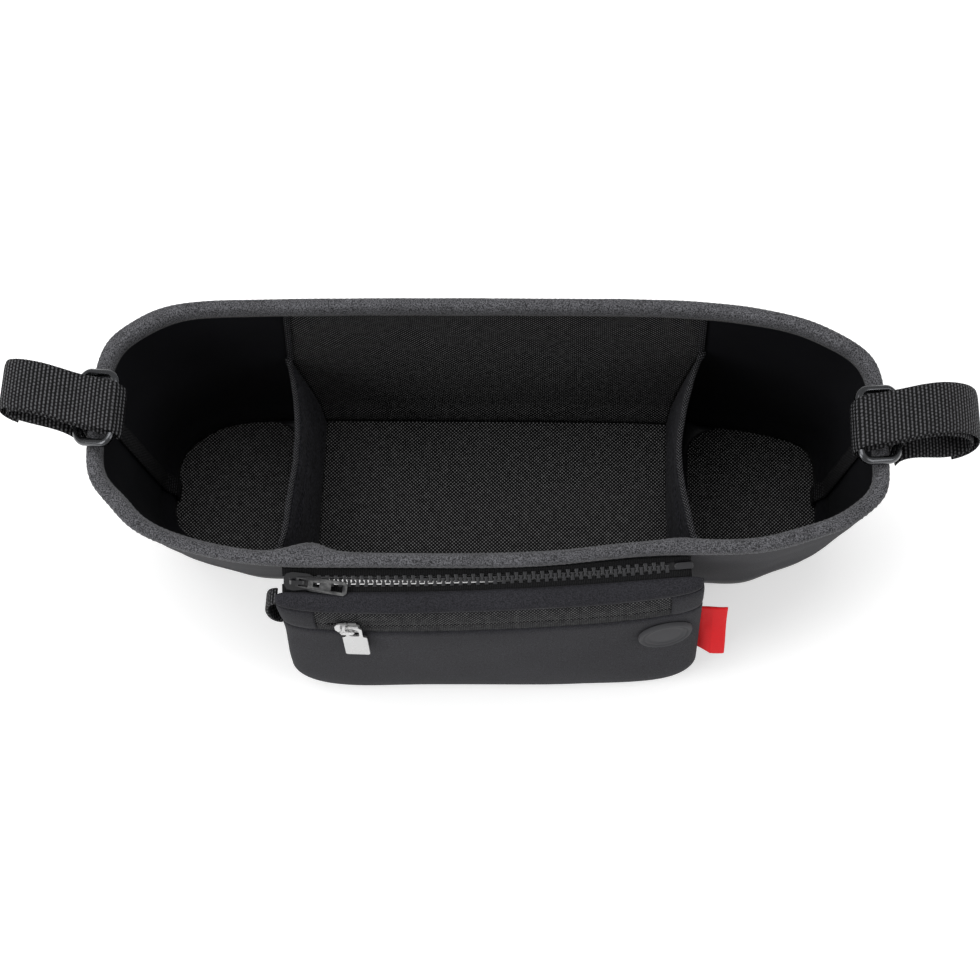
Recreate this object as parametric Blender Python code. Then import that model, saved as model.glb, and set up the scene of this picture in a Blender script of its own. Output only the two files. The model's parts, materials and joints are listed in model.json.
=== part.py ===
"""Pushchair organizer: an open soft tub with two cup pockets, a zip-off pouch and two strap loops.

Metres, +Z up. The origin is the centre of the base's underside, +X runs to the
right cup pocket and -Y is the side that carries the pouch.
"""

import math

import bmesh
import bpy
from mathutils import Matrix, Vector

# General
GAP = 0.0003
MERGE = 0.00001

# Tub
TUB_HEIGHT = 0.131
RIM_LENGTH = 0.380
RIM_BACK = 0.048
RIM_FRONT = -0.0945
BASE_LENGTH = 0.352
BASE_DEPTH = 0.098
CORNER_BACK_LEFT = 4.8
CORNER_BACK_RIGHT = 3.5
CORNER_FRONT = 3.1
CORNER_BASE = 4.0
PULL_IN = 0.0062
PULL_IN_X = 0.082
PUSH_OUT = 0.0032
PUSH_OUT_X = -0.110
PULL_SPREAD = 0.045
AROUND = 40
FINE_STEPS = 1500
BEND_WEIGHT = 0.13

# Walls and floor
SHELL_THICKNESS = 0.0030
LINER_THICKNESS = 0.0010
BAND_HEIGHT = 0.0110
BAND_THICKNESS = 0.0030
BAND_EDGE = 0.0010
BASE_THICKNESS = 0.0020
WELT_RADIUS = 0.0012
WELT_INSET = 0.0012
WELT_SIDES = 4
SHELL_TUCK = 0.0022
TUCK_RISE = 0.0090
WALL_SHARES = (0.0, 0.085, 0.50, 1.0)
BOARD_THICKNESS = 0.0025
FLOOR_THICKNESS = 0.0015
SEAM_BACK = 0.550
SEAM_FRONT = 0.515
SEAM_STEP = 0.012

# Rim binding
BINDING_WIDTH = 0.0070
BINDING_HEIGHT = 0.0078
BINDING_CROWN = 0.0007

# Dividers
DIVIDER_THICKNESS = 0.0035
DIVIDER_FOOT_X = 0.0925
DIVIDER_CLEAR = 0.0006
DIVIDER_BEAD = 0.0014
DIVIDER_SHAPES = {
    "left": {"side": -1, "back": (0.1040, 0.0745), "middle": (0.0885, 0.0930), "front": (0.0960, 0.1160)},
    "right": {"side": 1, "back": (0.1070, 0.0865), "middle": (0.0850, 0.0960), "front": (0.1005, 0.1170)},
}

# Seam tapes inside the tub
TAPE_WIDTH = 0.0100
TAPE_THICKNESS = 0.0008

# Strap webbing, in a plane that runs outward from the end of the rim: run outward and height above the rim
WEB_THICKNESS = 0.0016
WEB_WIDTH = 0.0264
WEB_LEAN = math.radians(16.0)
HOOK_THICKNESS = 0.0012
TAB_WIDTH = 0.0240
RING_WIRE = 0.0020
RING_LENGTH = 0.0372
RING_CORNER = 0.0055
RING_INNER = (-0.0145, 0.0075)
RING_OUTER = (0.0046, -0.0008)
STRAPS = {
    "left": {
        "side": -1,
        "y": -0.0140,
        "loop": [(0.0068, -0.0310), (0.0073, -0.0230), (0.0110, -0.0155), (0.0170, -0.0105), (0.0240, -0.0078),
                 (0.0320, -0.0067), (0.0382, -0.0048), (0.0420, -0.0010), (0.0405, 0.0032), (0.0340, 0.0050),
                 (0.0240, 0.0052), (0.0140, 0.0048), (0.0046, 0.0042)],
    },
    "right": {
        "side": 1,
        "y": -0.0205,
        "loop": [(0.0068, -0.0330), (0.0073, -0.0270), (0.0105, -0.0225), (0.0165, -0.0205), (0.0240, -0.0215),
                 (0.0310, -0.0228), (0.0390, -0.0220), (0.0445, -0.0170), (0.0440, -0.0100), (0.0370, -0.0035),
                 (0.0270, 0.0012), (0.0160, 0.0035), (0.0046, 0.0042)],
    },
}
STRAP_TAIL = 0.42
STRAP_STEPS = 22
UNDER_RUN = -0.0085
UNDER_RISE = 0.0049
SPACING_RUN = 0.026
HOOK_START = 0.014
HOOK_END = 0.036
HOOK_RISE = -0.011
HOOK_SHARE = 0.6
HOOK_MARGIN = 0.004
TAB_UP = [(-0.0008, -0.0310), (0.0006, -0.0160)]
TAB_SEAT = 0.0030
TAB_DOWN = [(0.0055, -0.0105), (0.0022, -0.0180), (0.0014, -0.0310)]

# Front arc, which the zips and the pouch follow
FRONT_RADIUS = 1.450
APEX_X = -0.072
APEX_Y = -0.0971
ZIP_DROP = 0.0125
ZIP_TILT = math.radians(35.0)

# Moulded zip that joins the pouch to the tub
TOOTH_PITCH = 0.0040
TOOTH_REACH = 0.00115
TOOTH_FOOT = 0.00270
TOOTH_TAPE_EDGE = 0.00195
TOOTH_HEIGHT = 0.0024
TOOTH_BASE = 0.00100
TOOTH_NECK = 0.00048
TOOTH_HEAD = 0.00115
ZIP_START_MARGIN = 0.0065
ZIP_END_MARGIN = 0.0060
TEETH_START_ROOM = 0.0093
TEETH_END_ROOM = 0.0090
ZIP_TAPE = 0.0009
ZIP_TAPE_CORNER = 0.0052
CLEAR_SHARE = 0.6
ZIP_FLANGE = 0.0070
FLANGE_EASE = 1.3
BOX_LENGTH = 0.0085
BOX_WIDTH = 0.0033
BOX_HEIGHT = 0.0034
SLIDER_LENGTH = 0.0130
SLIDER_WIDTH = 0.0088
SLIDER_PLATE = 0.0008
SLIDER_CLEAR = 0.00035
SLIDER_LEAD = 0.0018
BAIL_WIDTH = 0.0018
BAIL_BAR = 0.0009
BAIL_LENGTH = 0.0070
PIN_RADIUS = 0.0006
PULL_LENGTH = 0.0235
PULL_WIDTH = 0.0066
PULL_THICKNESS = 0.0012
PULL_TURN = math.radians(-8.0)

# Pouch
POUCH_MIDDLE = 0.0025
POUCH_TOP_DROP = 0.0012
POUCH_LENGTH = 0.2030
POUCH_BOTTOM = 0.0006
POUCH_CORNER = 0.028
POUCH_TOP_CORNER = 0.007
POUCH_SEAM = -0.0055
POUCH_FRONT_DEPTH = 0.0112
POUCH_BACK_DEPTH = 0.0030
POUCH_BACK_GAIN = 0.0090
POUCH_ROUND = 4.6
POUCH_END_ROUND = 4.2
POUCH_SKIN = 0.0020
BOTTOM_LIP = 0.035
TOP_LIP = 0.15
END_EDGE = 0.002
PANEL_GAP = 0.0004
POUCH_ACROSS = 16

# Woven strip with the hidden coil zip
STRIP_TOP_DROP = 0.0090
STRIP_BOTTOM_DROP = 0.0275
STRIP_SPLIT_DROP = 0.0185
STRIP_THICKNESS = 0.0010
STRIP_START_MARGIN = 0.0210
STRIP_END_MARGIN = 0.0160
COIL_DEPTH = 0.0016
END_TAB_STEPS = 5
MOUTH_LENGTH = 0.0060
MOUTH_WIDTH = 0.0012
POUCH_SLIDER_LEAD = 0.0150
POUCH_SLIDER_LENGTH = 0.0120
POUCH_SLIDER_WIDTH = 0.0090
PULL_PLATE_WIDTH = 0.0117
PULL_PLATE_LENGTH = 0.0190
PULL_EYE_WIDTH = 0.0080
PULL_EYE_LENGTH = 0.0105
PULL_EYE_BAR = 0.0016
PULL_PLATE_THICKNESS = 0.0011

# Trim on the pouch
BADGE_MARGIN = 0.0180
BADGE_DROP = 0.0455
BADGE_RADIUS = 0.0130
BADGE_THICKNESS = 0.0014
BADGE_RING = 0.0006
TAG_LENGTH = 0.0430
TAG_REACH = 0.0130
TAG_THICKNESS = 0.0012
TAG_Z = 0.0560
WRIST_LENGTH = 0.0180
WRIST_DROP = 0.0165
WRIST_REACH = 0.0085
WRIST_THICKNESS = 0.0014

COLOURS = {
    "foam": ((0.060, 0.060, 0.064, 1.0), 0.80, 0.0),
    "binding": ((0.075, 0.075, 0.080, 1.0), 0.90, 0.0),
    "lining": ((0.006, 0.006, 0.007, 1.0), 0.60, 0.0),
    "weave": ((0.018, 0.018, 0.019, 1.0), 0.80, 0.0),
    "base": ((0.012, 0.012, 0.013, 1.0), 0.55, 0.0),
    "board": ((0.20, 0.20, 0.20, 1.0), 0.70, 0.0),
    "webbing": ((0.030, 0.030, 0.032, 1.0), 0.75, 0.0),
    "hook": ((0.015, 0.015, 0.016, 1.0), 0.85, 0.0),
    "wire": ((0.070, 0.072, 0.078, 1.0), 0.25, 1.0),
    "teeth": ((0.020, 0.020, 0.021, 1.0), 0.30, 0.0),
    "black_metal": ((0.025, 0.025, 0.027, 1.0), 0.30, 0.6),
    "silver": ((0.70, 0.70, 0.70, 1.0), 0.30, 1.0),
    "rubber": ((0.040, 0.040, 0.044, 1.0), 0.50, 0.0),
    "red": ((0.75, 0.025, 0.030, 1.0), 0.65, 0.0),
}


def clear_objects():
    for thing in list(bpy.data.objects):
        bpy.data.objects.remove(thing, do_unlink=True)


def blend(start, end, share):
    return start + (end - start) * share


def signed_power(value, power):
    return math.copysign(abs(value) ** power, value)


def finish_material(thing, finish):
    """Give the object its own material."""
    colour, roughness, metallic = COLOURS[finish]
    material = bpy.data.materials.new(thing.name + "_" + finish)
    material.use_nodes = True
    shader = material.node_tree.nodes["Principled BSDF"]
    shader.inputs["Base Color"].default_value = colour
    shader.inputs["Roughness"].default_value = roughness
    shader.inputs["Metallic"].default_value = metallic
    thing.data.materials.clear()
    thing.data.materials.append(material)


def add_object(name, mesh, finish=None, parent=None, smooth=True):
    thing = bpy.data.objects.new(name, mesh)
    bpy.context.scene.collection.objects.link(thing)
    if parent is not None:
        thing.parent = parent
    if smooth:
        mesh.shade_smooth()
        mesh.set_sharp_from_angle(angle=math.radians(40.0))
    if finish is not None:
        finish_material(thing, finish)
    return thing


def add_frame(name, matrix):
    """Add an empty that carries pieces at its place and turn."""
    frame = bpy.data.objects.new(name, None)
    frame.matrix_world = matrix
    bpy.context.scene.collection.objects.link(frame)
    return frame


def mesh_from(bm, name):
    bmesh.ops.recalc_face_normals(bm, faces=bm.faces)
    mesh = bpy.data.meshes.new(name)
    bm.to_mesh(mesh)
    bm.free()
    return mesh


def sheet(name, steps, rows, place, thickness, finish, offset=-1.0, closed=False, parent=None):
    """A curved sheet: a grid laid out by place(u, v) and given its thickness."""
    bm = bmesh.new()
    bmesh.ops.create_grid(bm, x_segments=steps, y_segments=rows, size=1.0)
    for vert in bm.verts:
        vert.co = place((vert.co.x + 1.0) / 2.0, (vert.co.y + 1.0) / 2.0)
    if closed:
        bmesh.ops.remove_doubles(bm, verts=bm.verts, dist=MERGE)
    mesh = bpy.data.meshes.new(name)
    bm.to_mesh(mesh)
    bm.free()
    thing = add_object(name, mesh, finish, parent)
    solid = thing.modifiers.new("thickness", "SOLIDIFY")
    solid.thickness = thickness
    solid.offset = offset
    solid.use_even_offset = True
    return thing


def slab(name, steps, rows, outer, inner, finish):
    """A slab between two surfaces, each laid out over one grid by a function of u and v."""
    bm = bmesh.new()
    layers = []
    for place in (outer, inner):
        grid = [[bm.verts.new(place(i / steps, j / rows)) for j in range(rows + 1)] for i in range(steps + 1)]
        layers.append(grid)
        for i in range(steps):
            for j in range(rows):
                bm.faces.new((grid[i][j], grid[i + 1][j], grid[i + 1][j + 1], grid[i][j + 1]))
    rim = [(i, 0) for i in range(steps)] + [(steps, j) for j in range(rows)]
    rim += [(i, rows) for i in range(steps, 0, -1)] + [(0, j) for j in range(rows, 0, -1)]
    for (i, j), (k, m) in zip(rim, rim[1:] + rim[:1]):
        bm.faces.new((layers[0][i][j], layers[0][k][m], layers[1][k][m], layers[1][i][j]))
    return add_object(name, mesh_from(bm, name), finish)


def loft(name, loops, finish=None, ring=False, parent=None, smooth=True):
    """Join closed loops of points. A ring joins the last loop to the first, else the ends are capped.

    Each quad starts at its lower corner, so that the layers of a wall split along one diagonal.
    """
    bm = bmesh.new()
    rows = [[bm.verts.new(point) for point in points] for points in loops]
    pairs = list(zip(rows, rows[1:]))
    if ring:
        pairs.append((rows[-1], rows[0]))
    for first, second in pairs:
        for i in range(len(first)):
            j = (i + 1) % len(first)
            corners = [first[i], first[j], second[j], second[i]]
            if corners[0].co.z > corners[1].co.z:
                corners = corners[1:] + corners[:1]
            bm.faces.new(corners)
    if not ring:
        bm.faces.new(rows[0])
        bm.faces.new(rows[-1])
    return add_object(name, mesh_from(bm, name), finish, parent, smooth)


def prism(name, outline, low, high, finish=None, parent=None):
    """A flat outline in X and Y, extruded from low to high along Z."""
    bottom = [Vector((x, y, low)) for x, y in outline]
    top = [Vector((x, y, high)) for x, y in outline]
    return loft(name, [bottom, top], finish, parent=parent, smooth=False)


def block(name, low, high):
    outline = [(low[0], low[1]), (high[0], low[1]), (high[0], high[1]), (low[0], high[1])]
    return prism(name, outline, low[2], high[2])


def rounded_box(half_x, half_y, corner, steps=3):
    """Outline of a rectangle with round corners about the origin."""
    points = []
    for turn, (sign_x, sign_y) in enumerate(((1, 1), (-1, 1), (-1, -1), (1, -1))):
        for step in range(steps + 1):
            angle = math.radians(90.0 * (turn + step / steps))
            x = sign_x * (half_x - corner) + corner * math.cos(angle)
            y = sign_y * (half_y - corner) + corner * math.sin(angle)
            points.append((x, y))
    return points


def combine(base, tool, operation):
    """Run one exact Boolean with a tool and remove the tool."""
    tool.hide_render = True
    tool.display_type = "WIRE"
    change = base.modifiers.new(operation.lower(), "BOOLEAN")
    change.operation = operation
    change.solver = "EXACT"
    change.object = tool
    bpy.context.view_layer.update()
    graph = bpy.context.evaluated_depsgraph_get()
    mesh = bpy.data.meshes.new_from_object(base.evaluated_get(graph))
    base.modifiers.clear()
    base.data = mesh
    bpy.data.objects.remove(tool, do_unlink=True)
    return base


def catmull_rom(points, steps):
    """Even samples of a smooth curve through the points."""
    padded = [points[0] * 2 - points[1]] + points + [points[-1] * 2 - points[-2]]
    spans = len(points) - 1
    samples = []
    for step in range(steps + 1):
        place = step / steps * spans
        index = min(int(place), spans - 1)
        t = place - index
        a, b, c, d = padded[index:index + 4]
        samples.append(0.5 * (2 * b + (c - a) * t + (2 * a - 5 * b + 4 * c - d) * t ** 2
                              + (3 * b - a - 3 * c + d) * t ** 3))
    return samples


def read_path(samples, share):
    """Point at a share of the samples' length."""
    place = min(max(share, 0.0), 1.0) * (len(samples) - 1)
    index = min(int(place), len(samples) - 2)
    return samples[index].lerp(samples[index + 1], place - index)


# Tub outline

def height_share(z):
    return z / TUB_HEIGHT


def tub_point(angle, z, inset):
    """Point of the tub's wall at an angle round it, at height z and a depth below its outer face."""
    share = height_share(z)
    cosine = math.cos(angle)
    sine = math.sin(angle)
    half_length = blend(BASE_LENGTH, RIM_LENGTH, share) / 2 - inset
    back = blend(BASE_DEPTH / 2, RIM_BACK, share) - inset
    front = blend(-BASE_DEPTH / 2, RIM_FRONT, share) + inset
    corner_back = blend(CORNER_BACK_LEFT, CORNER_BACK_RIGHT, (cosine + 1) / 2)
    corner_rim = blend(CORNER_FRONT, corner_back, (sine + 1) / 2)
    corner = blend(CORNER_BASE, corner_rim, min(max(share, 0.0), 1.0))
    x = half_length * signed_power(cosine, 2 / corner)
    across = signed_power(sine, 2 / corner)
    y = (back + front) / 2 + (back - front) / 2 * across
    if across < 0:
        pull = PULL_IN * math.exp(-((x - PULL_IN_X) / PULL_SPREAD) ** 2)
        push = PUSH_OUT * math.exp(-((x - PUSH_OUT_X) / PULL_SPREAD) ** 2)
        y += (pull - push) * share ** 2 * -across
    return Vector((x, y, z))


def half_stations(start):
    """Angles of the wall's upright facets over half a turn, closer together where the rim bends."""
    angles = [start + math.pi * i / FINE_STEPS for i in range(FINE_STEPS + 1)]
    points = [tub_point(angle, TUB_HEIGHT, 0.0) for angle in angles]
    measure = [0.0]
    for i in range(FINE_STEPS):
        along = points[i + 1] - points[i]
        before = points[i] - points[i - 1] if i else Vector((0.0, 1.0 if start == 0.0 else -1.0, 0.0))
        measure.append(measure[-1] + along.length + BEND_WEIGHT * before.angle(along))
    stations = []
    index = 0
    for step in range(AROUND // 2):
        target = measure[-1] * step / (AROUND // 2)
        while measure[index + 1] < target:
            index += 1
        share = (target - measure[index]) / (measure[index + 1] - measure[index])
        stations.append(blend(angles[index], angles[index + 1], share))
    return stations


STATIONS = half_stations(0.0) + half_stations(math.pi)


def tub_loop(z, inset):
    return [tub_point(angle, z, inset) for angle in STATIONS]


def flat_point(place, z, inset):
    """Point on the wall's flat facets, which every layer shares. The place counts facets from the right end."""
    index = math.floor(place)
    first = tub_point(STATIONS[index % AROUND], z, inset)
    return first.lerp(tub_point(STATIONS[(index + 1) % AROUND], z, inset), place - index)


def place_at_x(point_at, x, z, depth, back):
    """Place round the wall at which a layer stands at x, on the back or the front side."""
    low, high = (0.0, AROUND / 2) if back else (float(AROUND), AROUND / 2)
    for _ in range(40):
        middle = (low + high) / 2
        if point_at(middle, z, depth).x > x:
            low = middle
        else:
            high = middle
    return (low + high) / 2


def wall_y(x, z, inset, back):
    return flat_point(place_at_x(flat_point, x, z, inset, back), z, inset).y


# Levels that stand on each other

WELT_Z = BAND_HEIGHT + GAP + WELT_RADIUS
SHELL_BOTTOM = WELT_Z + WELT_RADIUS + GAP
BINDING_BOTTOM = TUB_HEIGHT - BINDING_HEIGHT
SHELL_TOP = BINDING_BOTTOM - GAP
BOARD_BOTTOM = BASE_THICKNESS + GAP
FLOOR_BOTTOM = BOARD_BOTTOM + BOARD_THICKNESS + GAP
FLOOR_TOP = FLOOR_BOTTOM + FLOOR_THICKNESS
LINER_DEPTH = SHELL_THICKNESS + GAP
FLOOR_INSET = BAND_THICKNESS + GAP
FOOT_INSET = max(BAND_THICKNESS, SHELL_THICKNESS + SHELL_TUCK) + 2 * GAP
RIM_END_X = RIM_LENGTH / 2
WALL_LEVELS = [blend(SHELL_BOTTOM, SHELL_TOP, share) for share in WALL_SHARES]

# Places that follow the zip's height and the pouch's length

ZIP_Z = TUB_HEIGHT - ZIP_DROP
POUCH_TOP = ZIP_Z - POUCH_TOP_DROP
POUCH_START = POUCH_MIDDLE - POUCH_LENGTH / 2
POUCH_END = POUCH_MIDDLE + POUCH_LENGTH / 2
ZIP_TAPE_START = POUCH_START + ZIP_START_MARGIN
ZIP_TAPE_END = POUCH_END - ZIP_END_MARGIN
TEETH_START = ZIP_TAPE_START + TEETH_START_ROOM
TEETH_COUNT = int((ZIP_TAPE_END - TEETH_END_ROOM - TEETH_START) / TOOTH_PITCH)
SLIDER_S = TEETH_START - SLIDER_LEAD
STRIP_TOP = ZIP_Z - STRIP_TOP_DROP
STRIP_BOTTOM = ZIP_Z - STRIP_BOTTOM_DROP
STRIP_SPLIT = ZIP_Z - STRIP_SPLIT_DROP
STRIP_START = POUCH_START + STRIP_START_MARGIN
STRIP_END = POUCH_END - STRIP_END_MARGIN
POUCH_SLIDER_S = STRIP_START + POUCH_SLIDER_LEAD
BADGE_S = POUCH_END - BADGE_MARGIN
BADGE_Z = ZIP_Z - BADGE_DROP
WRIST_Z = ZIP_Z - WRIST_DROP


def shell_inset(z):
    """Depth of the shell's outer face: it tucks in above the welt and comes out again."""
    rise = min(max((z - SHELL_BOTTOM) / TUCK_RISE, 0.0), 1.0)
    return SHELL_TUCK * (1 - rise)


def wall_point(place, z, depth):
    """Point inside the wall at a depth below the shell's outer face, level by level."""
    if z <= WALL_LEVELS[0]:
        return flat_point(place, z, shell_inset(WALL_LEVELS[0]) + depth)
    index = 0
    while index < len(WALL_LEVELS) - 2 and z > WALL_LEVELS[index + 1]:
        index += 1
    low, high = WALL_LEVELS[index], WALL_LEVELS[index + 1]
    first = flat_point(place, low, shell_inset(low) + depth)
    second = flat_point(place, high, shell_inset(high) + depth)
    return first.lerp(second, (z - low) / (high - low))


def lining_point(place, z, depth):
    """Point on the lining, which leaves the wall near the floor to clear the band."""
    if z > WALL_LEVELS[1]:
        return wall_point(place, z, LINER_DEPTH + depth)
    foot = flat_point(place, 0.0, FOOT_INSET + depth)
    foot.z = z
    upper = wall_point(place, WALL_LEVELS[1], LINER_DEPTH + depth)
    share = max((z - SHELL_BOTTOM) / (WALL_LEVELS[1] - SHELL_BOTTOM), 0.0)
    point = foot.lerp(upper, share)
    point.z = z
    return point


def lining_y(x, z, depth, back):
    """Where the lining stands at x, on the back or the front side."""
    return lining_point(place_at_x(lining_point, x, z, depth, back), z, depth).y


def build_base_panel():
    """Moulded tray under the tub: a flat floor with an upright band."""
    profile = [
        (BAND_EDGE, 0.0),
        (0.0, BAND_EDGE),
        (0.0, BAND_HEIGHT - BAND_EDGE),
        (BAND_EDGE, BAND_HEIGHT),
        (BAND_THICKNESS, BAND_HEIGHT),
        (BAND_THICKNESS, BASE_THICKNESS),
    ]
    loops = [tub_loop(0.0, inset) for inset, _ in profile]
    for loop, (_, z) in zip(loops, profile):
        for point in loop:
            point.z = z
    return loft("base_panel", loops, "base")


def build_welt():
    """Round piping in the seam above the band."""
    loops = []
    for step in range(WELT_SIDES):
        angle = 2 * math.pi * step / WELT_SIDES
        inset = WELT_INSET + WELT_RADIUS * (1 - math.cos(angle))
        loops.append(tub_loop(WELT_Z + WELT_RADIUS * math.sin(angle), inset))
    return loft("base_welt", loops, "base", ring=True)


def wall_section(point_at, place, levels, thickness):
    """Upright section of a wall layer: up its outer face and down its inner face."""
    outer = [point_at(place, z, 0.0) for z in levels]
    inner = [point_at(place, z, thickness) for z in reversed(levels)]
    return outer + inner


def build_shell():
    """Foam outer wall, open at the top and the bottom."""
    sections = [wall_section(wall_point, place, WALL_LEVELS, SHELL_THICKNESS) for place in range(AROUND)]
    return loft("outer_shell", sections, "foam", ring=True)


def build_binding():
    """Rounded knit binding that caps the wall."""
    shoulder = BINDING_HEIGHT * 0.55
    profile = [
        (0.0004, 0.0),
        (0.0, shoulder),
        (BINDING_WIDTH * 0.22, BINDING_HEIGHT - BINDING_CROWN),
        (BINDING_WIDTH * 0.50, BINDING_HEIGHT),
        (BINDING_WIDTH * 0.78, BINDING_HEIGHT - BINDING_CROWN),
        (BINDING_WIDTH, shoulder),
        (BINDING_WIDTH - 0.0004, 0.0),
    ]
    loops = [tub_loop(BINDING_BOTTOM + z, inset) for inset, z in profile]
    return loft("rim_binding", loops, "binding", ring=True)


def seam_station(side, back):
    """Facet edge at which a cup pocket's lining meets the middle lining."""
    share = SEAM_BACK if back else SEAM_FRONT
    return round(place_at_x(flat_point, side * share * RIM_LENGTH / 2, TUB_HEIGHT, 0.0, back))


def build_liner(name, first, last, finish):
    """Part of the lining between two seams, from the floor to the rim."""
    places = [first + SEAM_STEP] + list(range(first + 1, last)) + [last - SEAM_STEP]
    levels = [FLOOR_TOP + GAP] + WALL_LEVELS
    sections = [wall_section(lining_point, place, levels, LINER_THICKNESS) for place in places]
    return loft(name, sections, finish)


def build_liners():
    back_right = seam_station(1, True)
    back_left = seam_station(-1, True)
    front_left = seam_station(-1, False)
    front_right = seam_station(1, False)
    build_liner("liner_back", back_right, back_left, "weave")
    build_liner("cup_liner_left", back_left, front_left, "lining")
    build_liner("liner_front", front_left, front_right, "weave")
    build_liner("cup_liner_right", front_right - AROUND, back_right, "lining")


def floor_outline(side):
    """Outline of one floor piece: -1 and 1 are the cup pockets, 0 is the middle."""
    loop = tub_loop(0.0, FLOOR_INSET)
    limit = DIVIDER_FOOT_X
    if side == 0:
        corners = []
        for x, back in ((limit, True), (-limit, True), (-limit, False), (limit, False)):
            corners.append((x, wall_y(x, 0.0, FLOOR_INSET, back)))
        inside = [(p.x, p.y) for p in loop if abs(p.x) < limit - 0.004]
        return sorted(corners + inside, key=lambda p: math.atan2(p[1], p[0]))
    edge = limit + 2 * GAP
    corners = [(side * edge, wall_y(side * edge, 0.0, FLOOR_INSET, back)) for back in (True, False)]
    inside = [(p.x, p.y) for p in loop if side * p.x > edge + 0.004]
    middle_x = side * (edge + BASE_LENGTH / 2) / 2
    return sorted(corners + inside, key=lambda p: math.atan2(p[1], p[0] - middle_x))


def build_floors():
    board = [(p.x, p.y) for p in tub_loop(0.0, BAND_THICKNESS + GAP)][::2]
    prism("base_board", board, BOARD_BOTTOM, BOARD_BOTTOM + BOARD_THICKNESS, "board")
    prism("floor_centre", floor_outline(0), FLOOR_BOTTOM, FLOOR_TOP, "weave")
    prism("cup_floor_left", floor_outline(-1), FLOOR_BOTTOM, FLOOR_TOP, "weave")
    prism("cup_floor_right", floor_outline(1), FLOOR_BOTTOM, FLOOR_TOP, "weave")


def divider_top(shape, u):
    """Distance from the middle and height of a divider's top edge, back to front."""
    weights = ((1 - u) ** 2, 2 * u * (1 - u), u ** 2)
    points = (shape["back"], shape["middle"], shape["front"])
    x = sum(weight * point[0] for weight, point in zip(weights, points))
    z = sum(weight * point[1] for weight, point in zip(weights, points))
    return x, z


def divider_level(top_z, v):
    """Height of a divider's row, on the same levels as the wall up to the divider's upper half."""
    levels = [FLOOR_TOP + GAP, WALL_LEVELS[0], WALL_LEVELS[1], WALL_LEVELS[2], top_z]
    return levels[round(v * (len(levels) - 1))]


def divider_point(shape, u, v):
    top_x, top_z = divider_top(shape, u)
    z = divider_level(top_z, v)
    share = (z - FLOOR_TOP) / (top_z - FLOOR_TOP)
    x = shape["side"] * blend(DIVIDER_FOOT_X, top_x, share ** 1.3)
    clear = LINER_THICKNESS + DIVIDER_CLEAR
    y = blend(lining_y(x, z, clear, True), lining_y(x, z, clear, False), u)
    return Vector((x, y, z))


def build_dividers():
    """Two padded walls between the middle and the cup pockets, with a bound top edge."""
    for name, shape in DIVIDER_SHAPES.items():
        def place(u, v, shape=shape):
            return divider_point(shape, u, v)

        sheet("divider_" + name, 6, 4, place, DIVIDER_THICKNESS, "foam", offset=0.0)
        add_tube("divider_" + name + "_binding", bead_points(shape), DIVIDER_BEAD, "binding", resolution=1)


def bead_points(shape):
    """Middle line of the bead on a divider's top edge."""
    points = []
    for step in range(11):
        point = divider_point(shape, blend(0.02, 0.98, step / 10), 1.0)
        points.append(point + Vector((0, 0, DIVIDER_BEAD + 3 * GAP)))
    return points


def add_tube(name, points, radius, finish, closed=False, resolution=2):
    curve = bpy.data.curves.new(name, "CURVE")
    curve.dimensions = "3D"
    curve.bevel_depth = radius
    curve.bevel_resolution = resolution
    curve.use_fill_caps = not closed
    spline = curve.splines.new("POLY")
    spline.points.add(len(points) - 1)
    for target, point in zip(spline.points, points):
        target.co = (point.x, point.y, point.z, 1.0)
    spline.use_cyclic_u = closed
    thing = bpy.data.objects.new(name, curve)
    bpy.context.scene.collection.objects.link(thing)
    finish_material(thing, finish)
    return thing


def tape_place(side, target, z, depth):
    """Place round the wall where the lining's end reaches a depth along Y."""
    low, high = -AROUND / 4, AROUND / 4
    for _ in range(40):
        middle = (low + high) / 2
        place = middle if side > 0 else AROUND / 2 - middle
        if lining_point(place, z, depth).y > target:
            high = middle
        else:
            low = middle
    return low if side > 0 else AROUND / 2 - low


def build_end_tapes():
    """Woven tape over the lining's seam at each end, from the rim to the floor."""
    depth = LINER_THICKNESS + 2 * GAP
    levels = [FLOOR_TOP + GAP] + WALL_LEVELS[:-1] + [SHELL_TOP - GAP]
    for name, side in (("left", -1), ("right", 1)):
        sections = []
        for edge in (-0.5, 0.5):
            centre = STRAPS[name]["y"]
            places = [tape_place(side, centre * height_share(z) + edge * TAPE_WIDTH, z, depth) for z in levels]
            outer = [lining_point(place, z, depth) for place, z in zip(places, levels)]
            inner = [lining_point(place, z, depth + TAPE_THICKNESS) for place, z in zip(places, levels)]
            sections.append(outer + inner[::-1])
        loft("end_tape_" + name, sections, "webbing")


# Straps

def above_rim(point):
    """Point in a strap's plane, from its run outward and its height above the rim."""
    return Vector((point[0], TUB_HEIGHT + point[1]))


def strap_place(strap, out, z, across):
    """Point of a strap: out from the end of the rim, across the webbing."""
    x = strap["side"] * (RIM_END_X + out * math.cos(WEB_LEAN))
    y = strap["y"] + out * math.sin(WEB_LEAN) + across
    return Vector((x, y, z))


def strap_normals(samples):
    """Unit normals on the outer side of a strap's loop."""
    normals = []
    last = len(samples) - 1
    for i in range(len(samples)):
        along = (samples[min(i + 1, last)] - samples[max(i - 1, 0)]).normalized()
        normals.append(Vector((along.y, -along.x)))
    return normals


def layer_spacing(out):
    """Distance between the strap's two layers: wide at the ring's bar, close beyond it."""
    close = WEB_THICKNESS + HOOK_THICKNESS + 2 * GAP
    wide = 2 * (RING_WIRE + GAP) + WEB_THICKNESS
    ease = min(max((out - RING_INNER[0]) / SPACING_RUN, 0.0), 1.0)
    return blend(wide, close, ease * ease * (3 - 2 * ease))


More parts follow.
